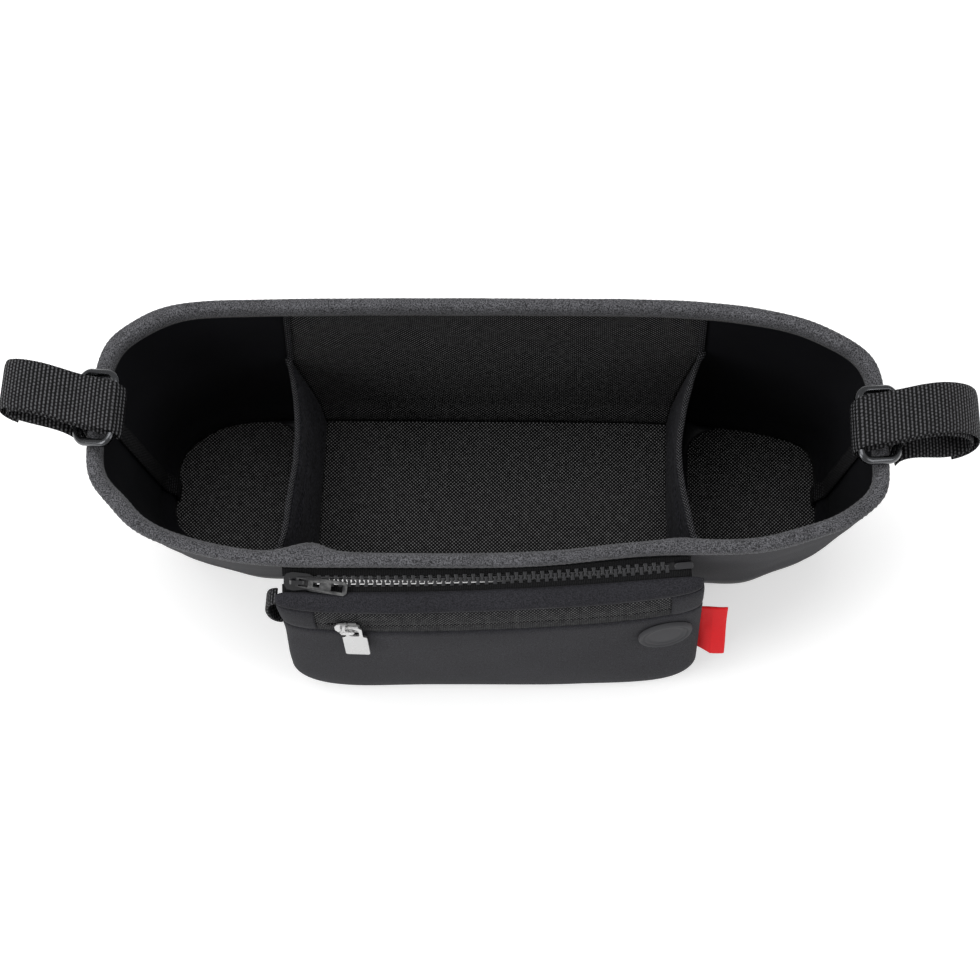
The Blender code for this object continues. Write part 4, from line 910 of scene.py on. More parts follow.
WALL_ROWS = 26
BAND_SIDES = 18
BAND_ROUND = 0.62
BAND_STITCH = 0.0031
BAND_SIDE_STEP = 0.0013
BAND_PROUD = 0.0006
BAND_SWELLS = ((-0.0845, 0.0052, 0.0120), (0.0960, 0.0012, 0.0110))
LINING_ROWS = 30
LINING_TOP = BINDING_BOTTOM + 0.0015
LINING_SAG = 0.0006
SEAM_BINDING = 0.0032
COVE_REACH = 0.0075
COVE_RISE = 0.0220
COVE_CORNER = 0.0160


def wall_wave(point):
    depth = bpy.context.scene.organizer_sizes.wall_waviness
    return depth * (waves(point, 0.060, 3.0) + 0.5 * waves(point, 0.022, 9.0))


def make_tub_wall():
    """Foam outer wall, with the soft waves that foam takes between its seams."""
    top = BINDING_BOTTOM + 0.002
    length = STEP_LENGTH * AROUND

    def place(u, v):
        z = blend(SHELL_BOTTOM, top, v)
        point = wall_point(u * AROUND, z, 0.0)
        fade = ease(v * 5) * ease((1 - v) * 6)
        return wall_point(u * AROUND, z, -wall_wave(point) * fade)

    mesh = grid_mesh("tub_wall", AROUND, WALL_ROWS, place, (length, top - SHELL_BOTTOM), ring=True)
    wall = add_piece("tub_wall", mesh, finish("foam_cloth"), ["outer_shell"])
    thicken(wall, SHELL_THICKNESS - GAP, -1.0)


def band_width(x, y):
    """Width of the rim's binding, which swells inward at the dividers' front ends."""
    width = BINDING_WIDTH
    if y < -0.05:
        for place, swell, spread in BAND_SWELLS:
            width += swell * bell(x - place, spread)
    return width * (1 + 0.05 * waves((x, y, 0.0), 0.025, 5.0))


def make_rim_band():
    """Knit binding folded over the wall's top edge: soft, a little uneven, with its two sewn edges."""
    height = TUB_HEIGHT - BINDING_BOTTOM
    length = STEP_LENGTH * AROUND

    def place(u, v):
        here = angle_at(u * AROUND)
        rim = tub_point(here, TUB_HEIGHT, 0.0)
        width = band_width(rim.x, rim.y) + BAND_PROUD
        rise = 0.0004 * waves(rim, 0.018, 2.0)
        pucker = 0.00022 * math.sin(u * length / BAND_STITCH * 2 * math.pi)
        turn = math.pi * round(v * BAND_SIDES) / (BAND_SIDES - 1)
        reach = signed_power(math.cos(turn), BAND_ROUND)
        lift = math.sin(turn) ** BAND_ROUND
        edge = 1 - min(lift * 3, 1)
        tight = pucker * (1 - edge) * (0.3 + 0.7 * (1 - lift))
        inset = width / 2 * (1 - reach) - BAND_PROUD
        inset += (tight + 0.0005 * edge) * (1 if reach > 0 else -1)
        return tub_point(here, BINDING_BOTTOM + (height + rise) * lift, inset)

    mesh = grid_mesh("rim_band", AROUND * 3, BAND_SIDES, place, (length, BAND_SIDES * BAND_SIDE_STEP),
                     ring=True, tube=True)
    add_piece("rim_band", mesh, finish("knit_binding"), ["rim_binding"])


def profile_ring(name, profile, tray=False):
    """Ring round the tub's foot from a profile of depths and heights, or a tray closed at both ends of it."""
    bm = bmesh.new()
    loops = []
    for i in range(AROUND):
        angle = angle_at(i)
        loops.append([bm.verts.new(tub_point(angle, 0.0, inset).xy.to_3d() + Vector((0, 0, z)))
                      for inset, z in profile])
    count = len(profile)
    for i in range(AROUND):
        k = (i + 1) % AROUND
        for j in range(count - 1 if tray else count):
            m = (j + 1) % count
            bm.faces.new((loops[i][j], loops[k][j], loops[k][m], loops[i][m]))
    if tray:
        bm.faces.new([loop[0] for loop in loops][::-1])
        bm.faces.new([loop[-1] for loop in loops])
    return mesh_from(bm, name, outward=True)


def make_base():
    """Tray with its upright band, the piping in the seam above it, and the board that stiffens it."""
    edge = 0.0014
    profile = [(edge * 2, 0.0), (edge, edge * 0.25), (edge * 0.25, edge), (0.0, edge * 2.2)]
    profile += [(-0.0004 * math.sin(math.pi * share), blend(edge * 2.2, BAND_HEIGHT - edge, share))
                for share in (0.2, 0.4, 0.6, 0.8)]
    profile += [(0.0, BAND_HEIGHT - edge), (edge * 0.3, BAND_HEIGHT - edge * 0.3), (edge, BAND_HEIGHT),
                (BAND_THICKNESS, BAND_HEIGHT), (BAND_THICKNESS, 0.0020)]
    tray = add_piece("base_tray", profile_ring("base_tray", profile, tray=True), finish("base_sheet"),
                     ["base_panel"])
    tray.data.set_sharp_from_angle(angle=math.radians(50.0))
    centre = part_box("base_welt")
    middle_z = (centre[0].z + centre[1].z) / 2
    piping = []
    for step in range(10):
        turn = 2 * math.pi * step / 10
        piping.append((0.0024 - WELT_RADIUS * math.cos(turn), middle_z + WELT_RADIUS * math.sin(turn)))
    add_piece("base_piping", profile_ring("base_piping", piping), finish("base_sheet"),
              ["base_welt"])
    board = frame["nodes"]["base_board"]
    board.data.materials.clear()
    board.data.materials.append(finish("board_card"))


SEAM_PLACES = {}


def seam_place(name, back, z):
    """Place of a lining's seam, which follows the divider's end and then rises straight to the rim."""
    key = (name, back, round(z, 6))
    if key not in SEAM_PLACES:
        shape = DIVIDER_SHAPES[name]
        end_x, end_z = shape["back"] if back else shape["front"]
        if z < end_z:
            x = blend(DIVIDER_FOOT_X, end_x, ((z - FLOOR_TOP) / (end_z - FLOOR_TOP)) ** DIVIDER_CURVE)
        else:
            x = blend(end_x, SEAM_BACKS[name] if back else SEAM_FRONT, (z - end_z) / (TUB_HEIGHT - end_z))
        SEAM_PLACES[key] = place_at_x(lining_point, shape["side"] * x, z, 0.0, back)
    return SEAM_PLACES[key]


def lining_mesh(name, ends):
    """Part of the lining between two seams, hanging a little loose; returns it with its width at the rim."""
    first, last = ends(LINING_TOP)
    width = STEP_LENGTH * (last - first)

    def place(u, v):
        z = blend(LINING_BOTTOM, LINING_TOP, v)
        here = blend(*ends(z), u)
        point = lining_point(here, z, 0.0)
        fade = ease(v * 6) * ease((1 - v) * 5) * ease(min(u, 1 - u) * 14)
        loose = LINING_SAG * (0.6 + 0.5 * waves(point, 0.045, 7.0) + 0.5 * waves(point, 0.019, 1.0))
        return lining_point(here, z, max(loose, 0.0) * fade)

    size = (width, LINING_TOP - LINING_BOTTOM)
    return grid_mesh(name, round((last - first) * 1.5), LINING_ROWS, place, size), width


def make_lining():
    """Lining in four parts: smooth in the cup pockets, coarse weave in the middle, with two bound seams."""
    parts = (
        ("lining_back", "liner_back", "coarse_weave", "weave", ("right", True), ("left", True)),
        ("lining_cup_left", "cup_liner_left", "cup_lining", "lining", ("left", True), ("left", False)),
        ("lining_front", "liner_front", "coarse_weave", "weave", ("left", False), ("right", False)),
        ("lining_cup_right", "cup_liner_right", "cup_lining", "lining", ("right", False), ("right", True)),
    )
    for name, node, cloth, slot, start, end in parts:
        lap = AROUND if name == "lining_cup_right" else 0

        def ends(z, start=start, end=end, lap=lap):
            return seam_place(*start, z) - lap, seam_place(*end, z)

        mesh, width = lining_mesh(name, ends)
        if cloth == "coarse_weave":
            lay_cloth(mesh, 0, 2)
        piece = add_piece(name, mesh, finish(cloth), [node])
        thicken(piece, LINING_THICKNESS, -1.0)
    for name, shape in DIVIDER_SHAPES.items():
        bottom = shape["back"][1] + 0.002

        def place(u, v, name=name, bottom=bottom):
            z = blend(bottom, LINING_TOP, u)
            here = seam_place(name, True, z) + (v - 0.5) * SEAM_BINDING / STEP_LENGTH
            return lining_point(here, z, 0.0014 + 0.0003 * math.sin(math.pi * v))

        mesh = grid_mesh("seam_binding_" + name, 48, 4, place, (LINING_TOP - bottom, SEAM_BINDING))
        piece = add_piece("seam_binding_" + name, mesh, finish("divider_edge_knit"))
        thicken(piece, TRIM_THICKNESS)


def make_cup_coves():
    """Smooth lining that curves from each divider to the cup's floor and rounds the floor's corners."""
    for name, shape in DIVIDER_SHAPES.items():
        def place(u, v, shape=shape):
            angle = math.pi / 2 * v
            reach = COVE_REACH + COVE_CORNER * abs(2 * u - 1) ** 7
            z = FLOOR_TOP + 0.0008 + COVE_RISE * (1 - math.cos(angle))
            top_x, top_z = divider_top(shape, u)
            share = (z - FLOOR_TOP) / (top_z - FLOOR_TOP)
            x = blend(DIVIDER_FOOT_X, top_x, share ** DIVIDER_CURVE) + 0.0024 + reach * (1 - math.sin(angle))
            x *= shape["side"]
            return Vector((x, blend(lining_y(x, z, 0.0012, True), lining_y(x, z, 0.0012, False), u), z))

        mesh = grid_mesh("lining_cove_" + name, 36, 10, place, (BASE_DEPTH, 0.03))
        piece = add_piece("lining_cove_" + name, mesh, finish("cup_lining"))
        thicken(piece, LINING_THICKNESS)


def floor_y(x, back):
    depth = BAND_THICKNESS + 0.0005
    here = place_at_x(lambda place, z, inset: tub_point(angle_at(place), z, inset), x, 0.0, depth, back)
    return tub_point(angle_at(here), 0.0, depth).y


def make_floors():
    """Woven floors of the middle and the two cup pockets, lying on the board."""
    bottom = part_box("floor_centre")[0].z
    thickness = FLOOR_TOP - bottom - GAP
    edge = DIVIDER_FOOT_X + 2 * GAP
    end = BASE_LENGTH / 2 - BAND_THICKNESS - 0.0006
    parts = (("floor_middle", "floor_centre", -DIVIDER_FOOT_X, DIVIDER_FOOT_X, 92),
             ("floor_cup_left", "cup_floor_left", -end, -edge, 50),
             ("floor_cup_right", "cup_floor_right", edge, end, 50))
    depth = BASE_DEPTH - 2 * BAND_THICKNESS
    for name, node, start, stop, steps in parts:
        def place(u, v, start=start, stop=stop):
            x = blend(start, stop, u)
            y = blend(floor_y(x, False), floor_y(x, True), v)
            z = FLOOR_TOP - thickness / 2 - 0.00035 * abs(waves((x, y, 0.0), 0.030, 4.0))
            return Vector((x, y, z))

        width = stop - start
        mesh = grid_mesh(name, steps, 44, place, (width, depth))
        lay_cloth(mesh, 0, 1)
        piece = add_piece(name, mesh, finish("coarse_weave"), [node])
        thicken(piece, thickness)


def lay_cloth(mesh, across, up):
    """Lay the weave square on a flat piece: its UVs are two of its places in metres."""
    layer = mesh.uv_layers[0].data
    for loop in mesh.loops:
        place = mesh.vertices[loop.vertex_index].co
        layer[loop.index].uv = (place[across], place[up])


# Dividers and tapes

def divider_top(shape, u):
    """Distance from the middle and height of a divider's top edge, back to front."""
    weights = ((1 - u) ** 2, 2 * u * (1 - u), u ** 2)
    points = (shape["back"], shape["middle"], shape["front"])
    x = sum(weight * point[0] for weight, point in zip(weights, points))
    z = sum(weight * point[1] for weight, point in zip(weights, points))
    return x, z


def divider_point(shape, u, v):
    top_x, top_z = divider_top(shape, u)
    z = blend(LINING_BOTTOM, top_z, v)
    share = (z - FLOOR_TOP) / (top_z - FLOOR_TOP)
    x = shape["side"] * blend(DIVIDER_FOOT_X, top_x, share ** DIVIDER_CURVE)
    y = blend(lining_y(x, z, DIVIDER_CLEAR, True), lining_y(x, z, DIVIDER_CLEAR, False), u)
    return Vector((x, y, z))


def make_dividers():
    """Two padded knit walls with a bead of dotted knit on the top edge and a small knob at its front end."""
    for name, shape in DIVIDER_SHAPES.items():
        points = {}

        def place(u, v, shape=shape, points=points):
            key = (round(u * DIVIDER_STEPS), round(v * DIVIDER_ROWS))
            if key not in points:
                point = divider_point(shape, u, v)
                fade = ease(min(u, 1 - u) * 6) * ease(v * 4)
                crease = bell(v - 0.60 - 0.25 * u, 0.045) * ease((u - 0.25) * 4)
                point.x += fade * 0.0010 * (waves(point, 0.035, 8.0) + 0.5 * waves(point, 0.016, 6.0))
                point.x += shape["side"] * 0.0013 * crease * fade
                points[key] = point
            return points[key]

        pad_name = "divider_" + name + "_pad"
        mesh = slab_mesh(pad_name, DIVIDER_STEPS, DIVIDER_ROWS, layer_of(place, 1), layer_of(place, -1),
                         (BASE_DEPTH, shape["back"][1]))
        pad = add_piece(pad_name, mesh, finish("divider_knit"), ["divider_" + name])
        top = [place(step / DIVIDER_STEPS, 1.0) for step in range(DIVIDER_STEPS + 1)]
        top = [point + Vector((0, 0, DIVIDER_BEAD * 0.75)) for point in top]
        radii = [DIVIDER_BEAD * (1 + 0.10 * waves(point, 0.010, 2.0)) for point in top]
        for end in (0, 1, -2, -1):
            radii[end] *= DIVIDER_KNOB
        mesh = tube_mesh("divider_" + name + "_edge", top, radii, 12)
        add_piece("divider_" + name + "_edge", mesh, finish("divider_edge_knit"),
                  ["divider_" + name + "_binding"])


def layer_of(place, side):
    """Face of a padded divider: fuller in the middle, thin at its sewn borders."""
    def face(u, v):
        here = place(u, v)
        swell = min(ease(min(u, 1 - u) * 8), ease(v * 7), ease((1 - v) * 9 + 0.25))
        half = blend(0.0009, DIVIDER_THICKNESS / 2, swell)
        return here + Vector((side * half, 0.0, 0.0))
    return face


def slab_mesh(name, steps, rows, outer, inner, size):
    """Closed slab between two surfaces that share one grid, with UVs in metres on both."""
    bm = bmesh.new()
    uv = bm.loops.layers.uv.new("UVMap")
    layers = []
    for flip, place in enumerate((outer, inner)):
        grid = [[bm.verts.new(place(i / steps, j / rows)) for j in range(rows + 1)] for i in range(steps + 1)]
        layers.append(grid)
        for i in range(steps):
            for j in range(rows):
                corners = [(i, j), (i + 1, j), (i + 1, j + 1), (i, j + 1)]
                if flip:
                    corners.reverse()
                face = bm.faces.new([grid[a][b] for a, b in corners])
                for loop, (a, b) in zip(face.loops, corners):
                    loop[uv].uv = (a / steps * size[0], b / rows * size[1])
    rim = [(i, 0) for i in range(steps)] + [(steps, j) for j in range(rows)]
    rim += [(i, rows) for i in range(steps, 0, -1)] + [(0, j) for j in range(rows, 0, -1)]
    for (i, j), (k, m) in zip(rim, rim[1:] + rim[:1]):
        face = bm.faces.new((layers[1][i][j], layers[1][k][m], layers[0][k][m], layers[0][i][j]))
        for loop, (a, b) in zip(face.loops, ((i, j), (k, m), (k, m), (i, j))):
            loop[uv].uv = (a / steps * size[0], b / rows * size[1])
    return mesh_from(bm, name, outward=True)


def tube_mesh(name, points, radii, sides, closed=False):
    """Round tube along points, with domed ends and UVs in metres."""
    count = len(points)
    turns = [2 * math.pi * j / sides for j in range(sides)]
    loops = []
    side = None
    tangents = []
    for i in range(count):
        before = points[i - 1] if i or closed else points[i]
        after = points[(i + 1) % count] if i < count - 1 or closed else points[i]
        tangents.append((after - before).normalized())
    for i in range(count):
        if side is None:
            side = tangents[i].orthogonal().normalized()
        side = (side - tangents[i] * side.dot(tangents[i])).normalized()
        other = tangents[i].cross(side)
        loops.append([points[i] + (side * math.cos(turn) + other * math.sin(turn)) * radii[i]
                      for turn in turns])
    lengths = path_lengths(points)
    if not closed:
        for end, sign in ((0, -1), (-1, 1)):
            centre, tangent, radius = points[end], tangents[end], radii[end]
            caps = []
            for angle in (30.0, 60.0):
                turn = math.radians(angle)
                caps.append([centre + (p - centre) * math.cos(turn) + tangent * sign * radius * math.sin(turn)
                             for p in loops[end]])
            if sign < 0:
                loops = caps[::-1] + loops
                lengths = [lengths[0], lengths[0]] + lengths
            else:
                loops = loops + caps
                lengths = lengths + [lengths[-1], lengths[-1]]
    bm = bmesh.new()
    uv = bm.loops.layers.uv.new("UVMap")
    rings = [[bm.verts.new(point) for point in loop] for loop in loops]
    last = len(rings) if closed else len(rings) - 1
    for i in range(last):
        k = (i + 1) % len(rings)
        for j in range(sides):
            m = (j + 1) % sides
            face = bm.faces.new((rings[i][j], rings[i][m], rings[k][m], rings[k][j]))
            along = (lengths[i], lengths[i], lengths[k] if k else lengths[i], lengths[k] if k else lengths[i])
            around = (j, j + 1, j + 1, j)
            for loop, a, b in zip(face.loops, along, around):
                loop[uv].uv = (a, b / sides * 2 * math.pi * radii[0])
    if not closed:
        bm.faces.new(rings[0][::-1])
        bm.faces.new(rings[-1])
    return mesh_from(bm, name, outward=True)


def tape_place(side, target, z, depth):
    """Place round the wall where the lining's end reaches a depth along Y."""
    low, high = -AROUND / 4, AROUND / 4
    for _ in range(40):
        middle = (low + high) / 2
        place = middle if side > 0 else AROUND / 2 - middle
        if lining_point(place, z, depth).y > target:
            high = middle
        else:
            low = middle
    return low if side > 0 else AROUND / 2 - low


def make_end_tapes():
    """Woven tape over the lining's seam at each end, from the rim to the floor."""
    for name, strap in STRAPS.items():
        def place(u, v, strap=strap):
            z = blend(LINING_BOTTOM, LINING_TOP, u)
            target = strap["y"] * z / TUB_HEIGHT + blend(-TAPE_WIDTH / 2, TAPE_WIDTH / 2, v)
            here = tape_place(strap["side"], target, z, TAPE_DEPTH)
            return lining_point(here, z, TAPE_DEPTH + 0.0002 * math.sin(math.pi * v))

        length = LINING_TOP - LINING_BOTTOM
        mesh = grid_mesh("seam_tape_" + name, 60, 4, place, (length, TAPE_WIDTH))
        piece = add_piece("seam_tape_" + name, mesh, finish("seam_tape_cloth"),
                          ["end_tape_" + name])
        thicken(piece, TRIM_THICKNESS)


# Strap loops

def strap_place(strap, out, z, across):
    """Point of a strap: out from the end of the rim, across the webbing."""
    x = strap["side"] * (RIM_LENGTH / 2 + out * math.cos(WEB_LEAN))
    y = strap["y"] + out * math.sin(WEB_LEAN) + across
    return Vector((x, y, z))


def strap_normals(samples):
    normals = []
    last = len(samples) - 1
    for i in range(len(samples)):
        along = (samples[min(i + 1, last)] - samples[max(i - 1, 0)]).normalized()
        normals.append(Vector((along.y, -along.x)))
    return normals


def layer_spacing(out):
    """Distance between the strap's two layers: wide at the ring's bar, close beyond it."""
    close = WEB_THICKNESS + HOOK_THICKNESS + 2 * GAP
    wide = 2 * (RING_WIRE + GAP) + WEB_THICKNESS
    return blend(wide, close, ease((out - RING_INNER[0]) / 0.026))


def strap_paths(strap):
    """Middle lines of the whole strap and of the hook strip between its layers."""
    fold = Vector(RING_INNER)
    under = [Vector((RING_OUTER[0] - 0.0085, RING_OUTER[1] + 0.0049)), Vector((fold.x, fold.y - TURN_RADIUS))]
    inner = catmull_rom([Vector(point) for point in strap["loop"]] + under, STRAP_STEPS)
    normals = strap_normals(inner)
    outer = []
    hook = []
    last = len(inner) - 1
    for i in range(last, int(last * STRAP_TAIL), -1):
        spacing = layer_spacing(inner[i].x)
        outer.append(inner[i] + normals[i] * spacing)
        if 0.014 < inner[i].x < 0.036 and inner[i].y > 0.120 and i > last * 0.6:
            hook.append(inner[i] + normals[i] * spacing / 2)
    bend = []
    for step in range(1, 16):
        angle = math.radians(-90.0 - 180.0 * step / 16)
        slack = math.sin(math.pi * step / 16)
        bend.append(fold + Vector((math.cos(angle) * (TURN_RADIUS + strap["fold_out"] * slack),
                                   math.sin(angle) * TURN_RADIUS - FOLD_DROOP * slack)))
    return inner + bend + outer, hook


def even_path(points, step):
    """The same path in even steps no longer than step."""
    lengths = path_lengths(points)
    count = max(int(lengths[-1] / step), 2)
    found = []
    index = 0
    for i in range(count + 1):
        target = lengths[-1] * i / count
        while index < len(points) - 2 and lengths[index + 1] < target:
            index += 1
        span = max(lengths[index + 1] - lengths[index], 1e-9)
        share = min(max((target - lengths[index]) / span, 0.0), 1.0)
        found.append(points[index].lerp(points[index + 1], share))
    return found, lengths[-1]


def make_webbing(name, strap, points, width, cloth, nodes, ribbed=True):
    """Webbing with real ribs across it and thin rounded edges."""
    pitch = bpy.context.scene.organizer_sizes.rib_pitch
    path, length = even_path(points, pitch / 4)
    normals = strap_normals(path)
    half_thickness = WEB_THICKNESS / 2
    relief = 0.00016 if ribbed else 0.0

    def face(sign):
        def place(u, v):
            index = round(u * (len(path) - 1))
            point = path[index]
            edge = 2 * abs(v - 0.5)
            rib = abs(math.sin(math.pi * u * length / pitch))
            depth = half_thickness * (1 - edge ** 8 * 0.75) - relief * (1 - rib)
            shift = normals[index] * sign * depth
            wave = 0.0005 * waves((point.x, point.y, strap["side"]), 0.030, 4.0)
            across = blend(-width / 2, width / 2, v) + wave
            return strap_place(strap, point.x + shift.x, point.y + shift.y, across)
        return place

    mesh = slab_mesh(name, len(path) - 1, 14, face(1), face(-1), (length, width))
    piece = add_piece(name, mesh, finish(cloth), nodes)


def ring_points(strap):
    inner = Vector(RING_INNER)
    outer = Vector(RING_OUTER)
    middle = (inner + outer) / 2
    slope = (outer - inner).normalized()
    half = (outer - inner).length / 2
    points = []
    for x, y in rounded_box(half, RING_LENGTH / 2, RING_CORNER, 12):
        place = middle + slope * x
        points.append(strap_place(strap, place.x, place.y, y))
    return points


def tab_path():
    """Webbing tab: up the wall, round the ring's outer bar and down again."""
    bar = Vector(RING_OUTER)
    inside = [Vector((-0.0008, 0.1000)), Vector((0.0006, 0.1150)),
              Vector((bar.x - TURN_RADIUS, bar.y - 0.0030))]
    arc = []
    for step in range(7):
        angle = math.radians(180.0 - 30.0 * step)
        arc.append(bar + Vector((math.cos(angle), math.sin(angle))) * TURN_RADIUS)
    outside = [Vector((0.0055, 0.1205)), Vector((0.0022, 0.1130)), Vector((0.0014, 0.1000))]
    return catmull_rom(inside + arc + outside, 90)


def make_straps():
    """Two carrying loops with their hook strips, wire rings and tabs."""
    for name, strap in STRAPS.items():
        path, hook = strap_paths(strap)
        make_webbing("strap_loop_" + name, strap, path, WEB_WIDTH, "webbing_cloth",
                     ["strap_" + name])
        points = ring_points(strap)
        mesh = tube_mesh("ring_wire_" + name, points, [RING_WIRE] * len(points), RING_SIDES, closed=True)
        add_piece("ring_wire_" + name, mesh, finish("ring_wire"), ["ring_" + name])
        make_webbing("ring_loop_" + name, strap, tab_path(), TAB_WIDTH, "webbing_cloth",
                     ["ring_tab_" + name])
        make_webbing("hook_patch_" + name, strap, hook, WEB_WIDTH - 0.004, "hook_tape",
                     ["hook_strip_" + name], ribbed=False)


# Upper zip

def outside_wall(x, z, depth):
    return wall_point(place_at_x(wall_point, x, z, depth, False), z, depth)


def body_tape_path(s, v):
    """Tub side of the zip: a strip from the teeth to the wall and a flange down the wall."""
    near = zip_point(s, TOOTH_TAPE_EDGE, 0.0)
    top_z = BINDING_BOTTOM - 3 * GAP - ZIP_TAPE
    skin = -(2 * GAP + ZIP_TAPE / 2)
    corner = outside_wall(near.x, top_z, skin)
    foot = outside_wall(near.x, top_z - ZIP_FLANGE, skin)
    clear = zip_point(s, SLIDER_WIDTH / 2 + GAP, 0.0)
    limit = near.lerp(corner, 0.6)
    if clear.y > limit.y:
        clear = limit
    return read_path([foot, corner, clear, near], v)


def pouch_tape_path(s, v):
    """Pouch side of the zip: a strip from the teeth and a flange down behind the front."""
    near = zip_point(s, -TOOTH_TAPE_EDGE, 0.0)
    corner = zip_point(s, -0.0052, 0.0)
    low_z = STRIP_TOP + ZIP_TAPE
    ease_in = 1 + FLANGE_EASE * (abs(s - POUCH_MIDDLE) / pouch_half(low_z, pouch_side(s))) ** 6
    depth = pouch_front_v(s, low_z) + (POUCH_SKIN + GAP + ZIP_TAPE) * ease_in
    foot = front_point(s, min(depth, POUCH_SEAM - ZIP_TAPE), low_z)
    return read_path([near, corner, foot], v)


def tooth_outline(centre, side):
    half = [(TOOTH_BASE, TOOTH_FOOT), (TOOTH_NECK, 0.0), (TOOTH_HEAD, -TOOTH_REACH)]
    right = [(centre + x, side * y) for x, y in half]
    left = [(centre - x, side * y) for x, y in reversed(half)]
    return right + left


def make_teeth(name, side, node):
    """Row of moulded teeth with rounded edges, each head hooked behind its two neighbours."""
    bm = bmesh.new()
    shift = 0.0 if side > 0 else TOOTH_PITCH / 2
    for index in range(TEETH_COUNT):
        outline = tooth_outline(TEETH_START + shift + index * TOOTH_PITCH, side)
        low = [bm.verts.new(zip_point(s, across, -TOOTH_HEIGHT / 2)) for s, across in outline]
        high = [bm.verts.new(zip_point(s, across, TOOTH_HEIGHT / 2)) for s, across in outline]
        count = len(outline)
        bm.faces.new(low)
        bm.faces.new(high)
        for i in range(count):
            bm.faces.new((low[i], low[(i + 1) % count], high[(i + 1) % count], high[i]))
    bmesh.ops.recalc_face_normals(bm, faces=bm.faces)
    bmesh.ops.bevel(bm, geom=bm.edges[:], offset=TOOTH_BEVEL, segments=2, profile=0.5, affect="EDGES")
    mesh = mesh_from(bm, name)
    add_piece(name, mesh, finish("moulded_tooth"), [node])


def make_attach_zip():
    """Separating zip: tapes, two rows of interlocked teeth, the box at its end, the slider and its pull."""
    length = ZIP_TAPE_END - ZIP_TAPE_START
    tapes = (("zip_tape_tub", "attach_tape_tub", 1, body_tape_path, 0.014),
             ("zip_tape_pouch", "attach_tape_pouch", -1, pouch_tape_path, 0.012))
    for name, node, side, path, depth in tapes:
        def place(u, v, path=path):
            return path(blend(ZIP_TAPE_START, ZIP_TAPE_END, u), v)

        mesh = grid_mesh(name, 110, 12, place, (length, depth))
        piece = add_piece(name, mesh, finish("zip_tape_cloth"), [node])
        thicken(piece, ZIP_TAPE)
        make_teeth(name.replace("tape", "teeth"), side, node)
    node_copy("retaining_box", "zip_stop_box", finish("moulded_tooth"), 0.00035)
    node_copy("attach_slider", "zip_slider_black", finish("slider_enamel"), 0.00022)
    node_copy("attach_pull", "zip_pull_black", finish("slider_enamel"), 0.00025)


# Pouch

def pucker(s, z):
    """Small puckers that the sewn zips and seams pull into the foam beside them."""
    depth = bpy.context.scene.organizer_sizes.pouch_pucker
    near = bell(z - STRIP_TOP, 0.0035) + bell(z - STRIP_BOTTOM, 0.0035)
    spot = (s, STRIP_BOTTOM, z)
    ripple = waves(spot, 0.0065, 4.0) + 0.6 * waves(spot, 0.0110, 2.0)
    broad = waves((s, 0.0, z), 0.055, 1.0) + 0.4 * waves((s, 0.0, z), 0.024, 6.0)
    return depth * (near * ripple * 0.8 + broad)


def make_pouch_panel(name, node, low, high, rows, front, steps=150):
    """Foam skin of the pouch between two heights."""
    start = math.pi if front else 0.0

    def skin(depth):
        def place(u, v):
            angle = start + blend(END_EDGE, math.pi - END_EDGE, u)
            z = panel_level(low, high, v)
            point = pouch_section(angle, z, depth)
            border = ease(min(u, 1 - u) * 14) * ease(min(v, 1 - v) * 8 + 0.12)
            roll = POUCH_SKIN * 0.42 * (1 - ease(min(v, 1 - v) * rows / 1.6)) if front else 0.0
            out = pucker(point.x, z) * border - (roll if depth == 0.0 else -roll)
            lift = pouch_section(angle, z, depth + 0.001) - point
            if lift.length > 1e-7:
                point = point - lift.normalized() * out * (1 if front else 0.6)
            return point
        return place

    size = (POUCH_LENGTH, high - low)
    mesh = slab_mesh(name, steps, rows, skin(0.0), skin(POUCH_SKIN), size)
    piece = add_piece(name, mesh, finish("foam_cloth"), [node])


def strip_edge(s):
    mouth = max(1 - abs((s - POUCH_SLIDER_S + POUCH_SLIDER_LENGTH * 0.34) / MOUTH_LENGTH) ** 2, 0.0)
    return 0.0002 + MOUTH_WIDTH * mouth


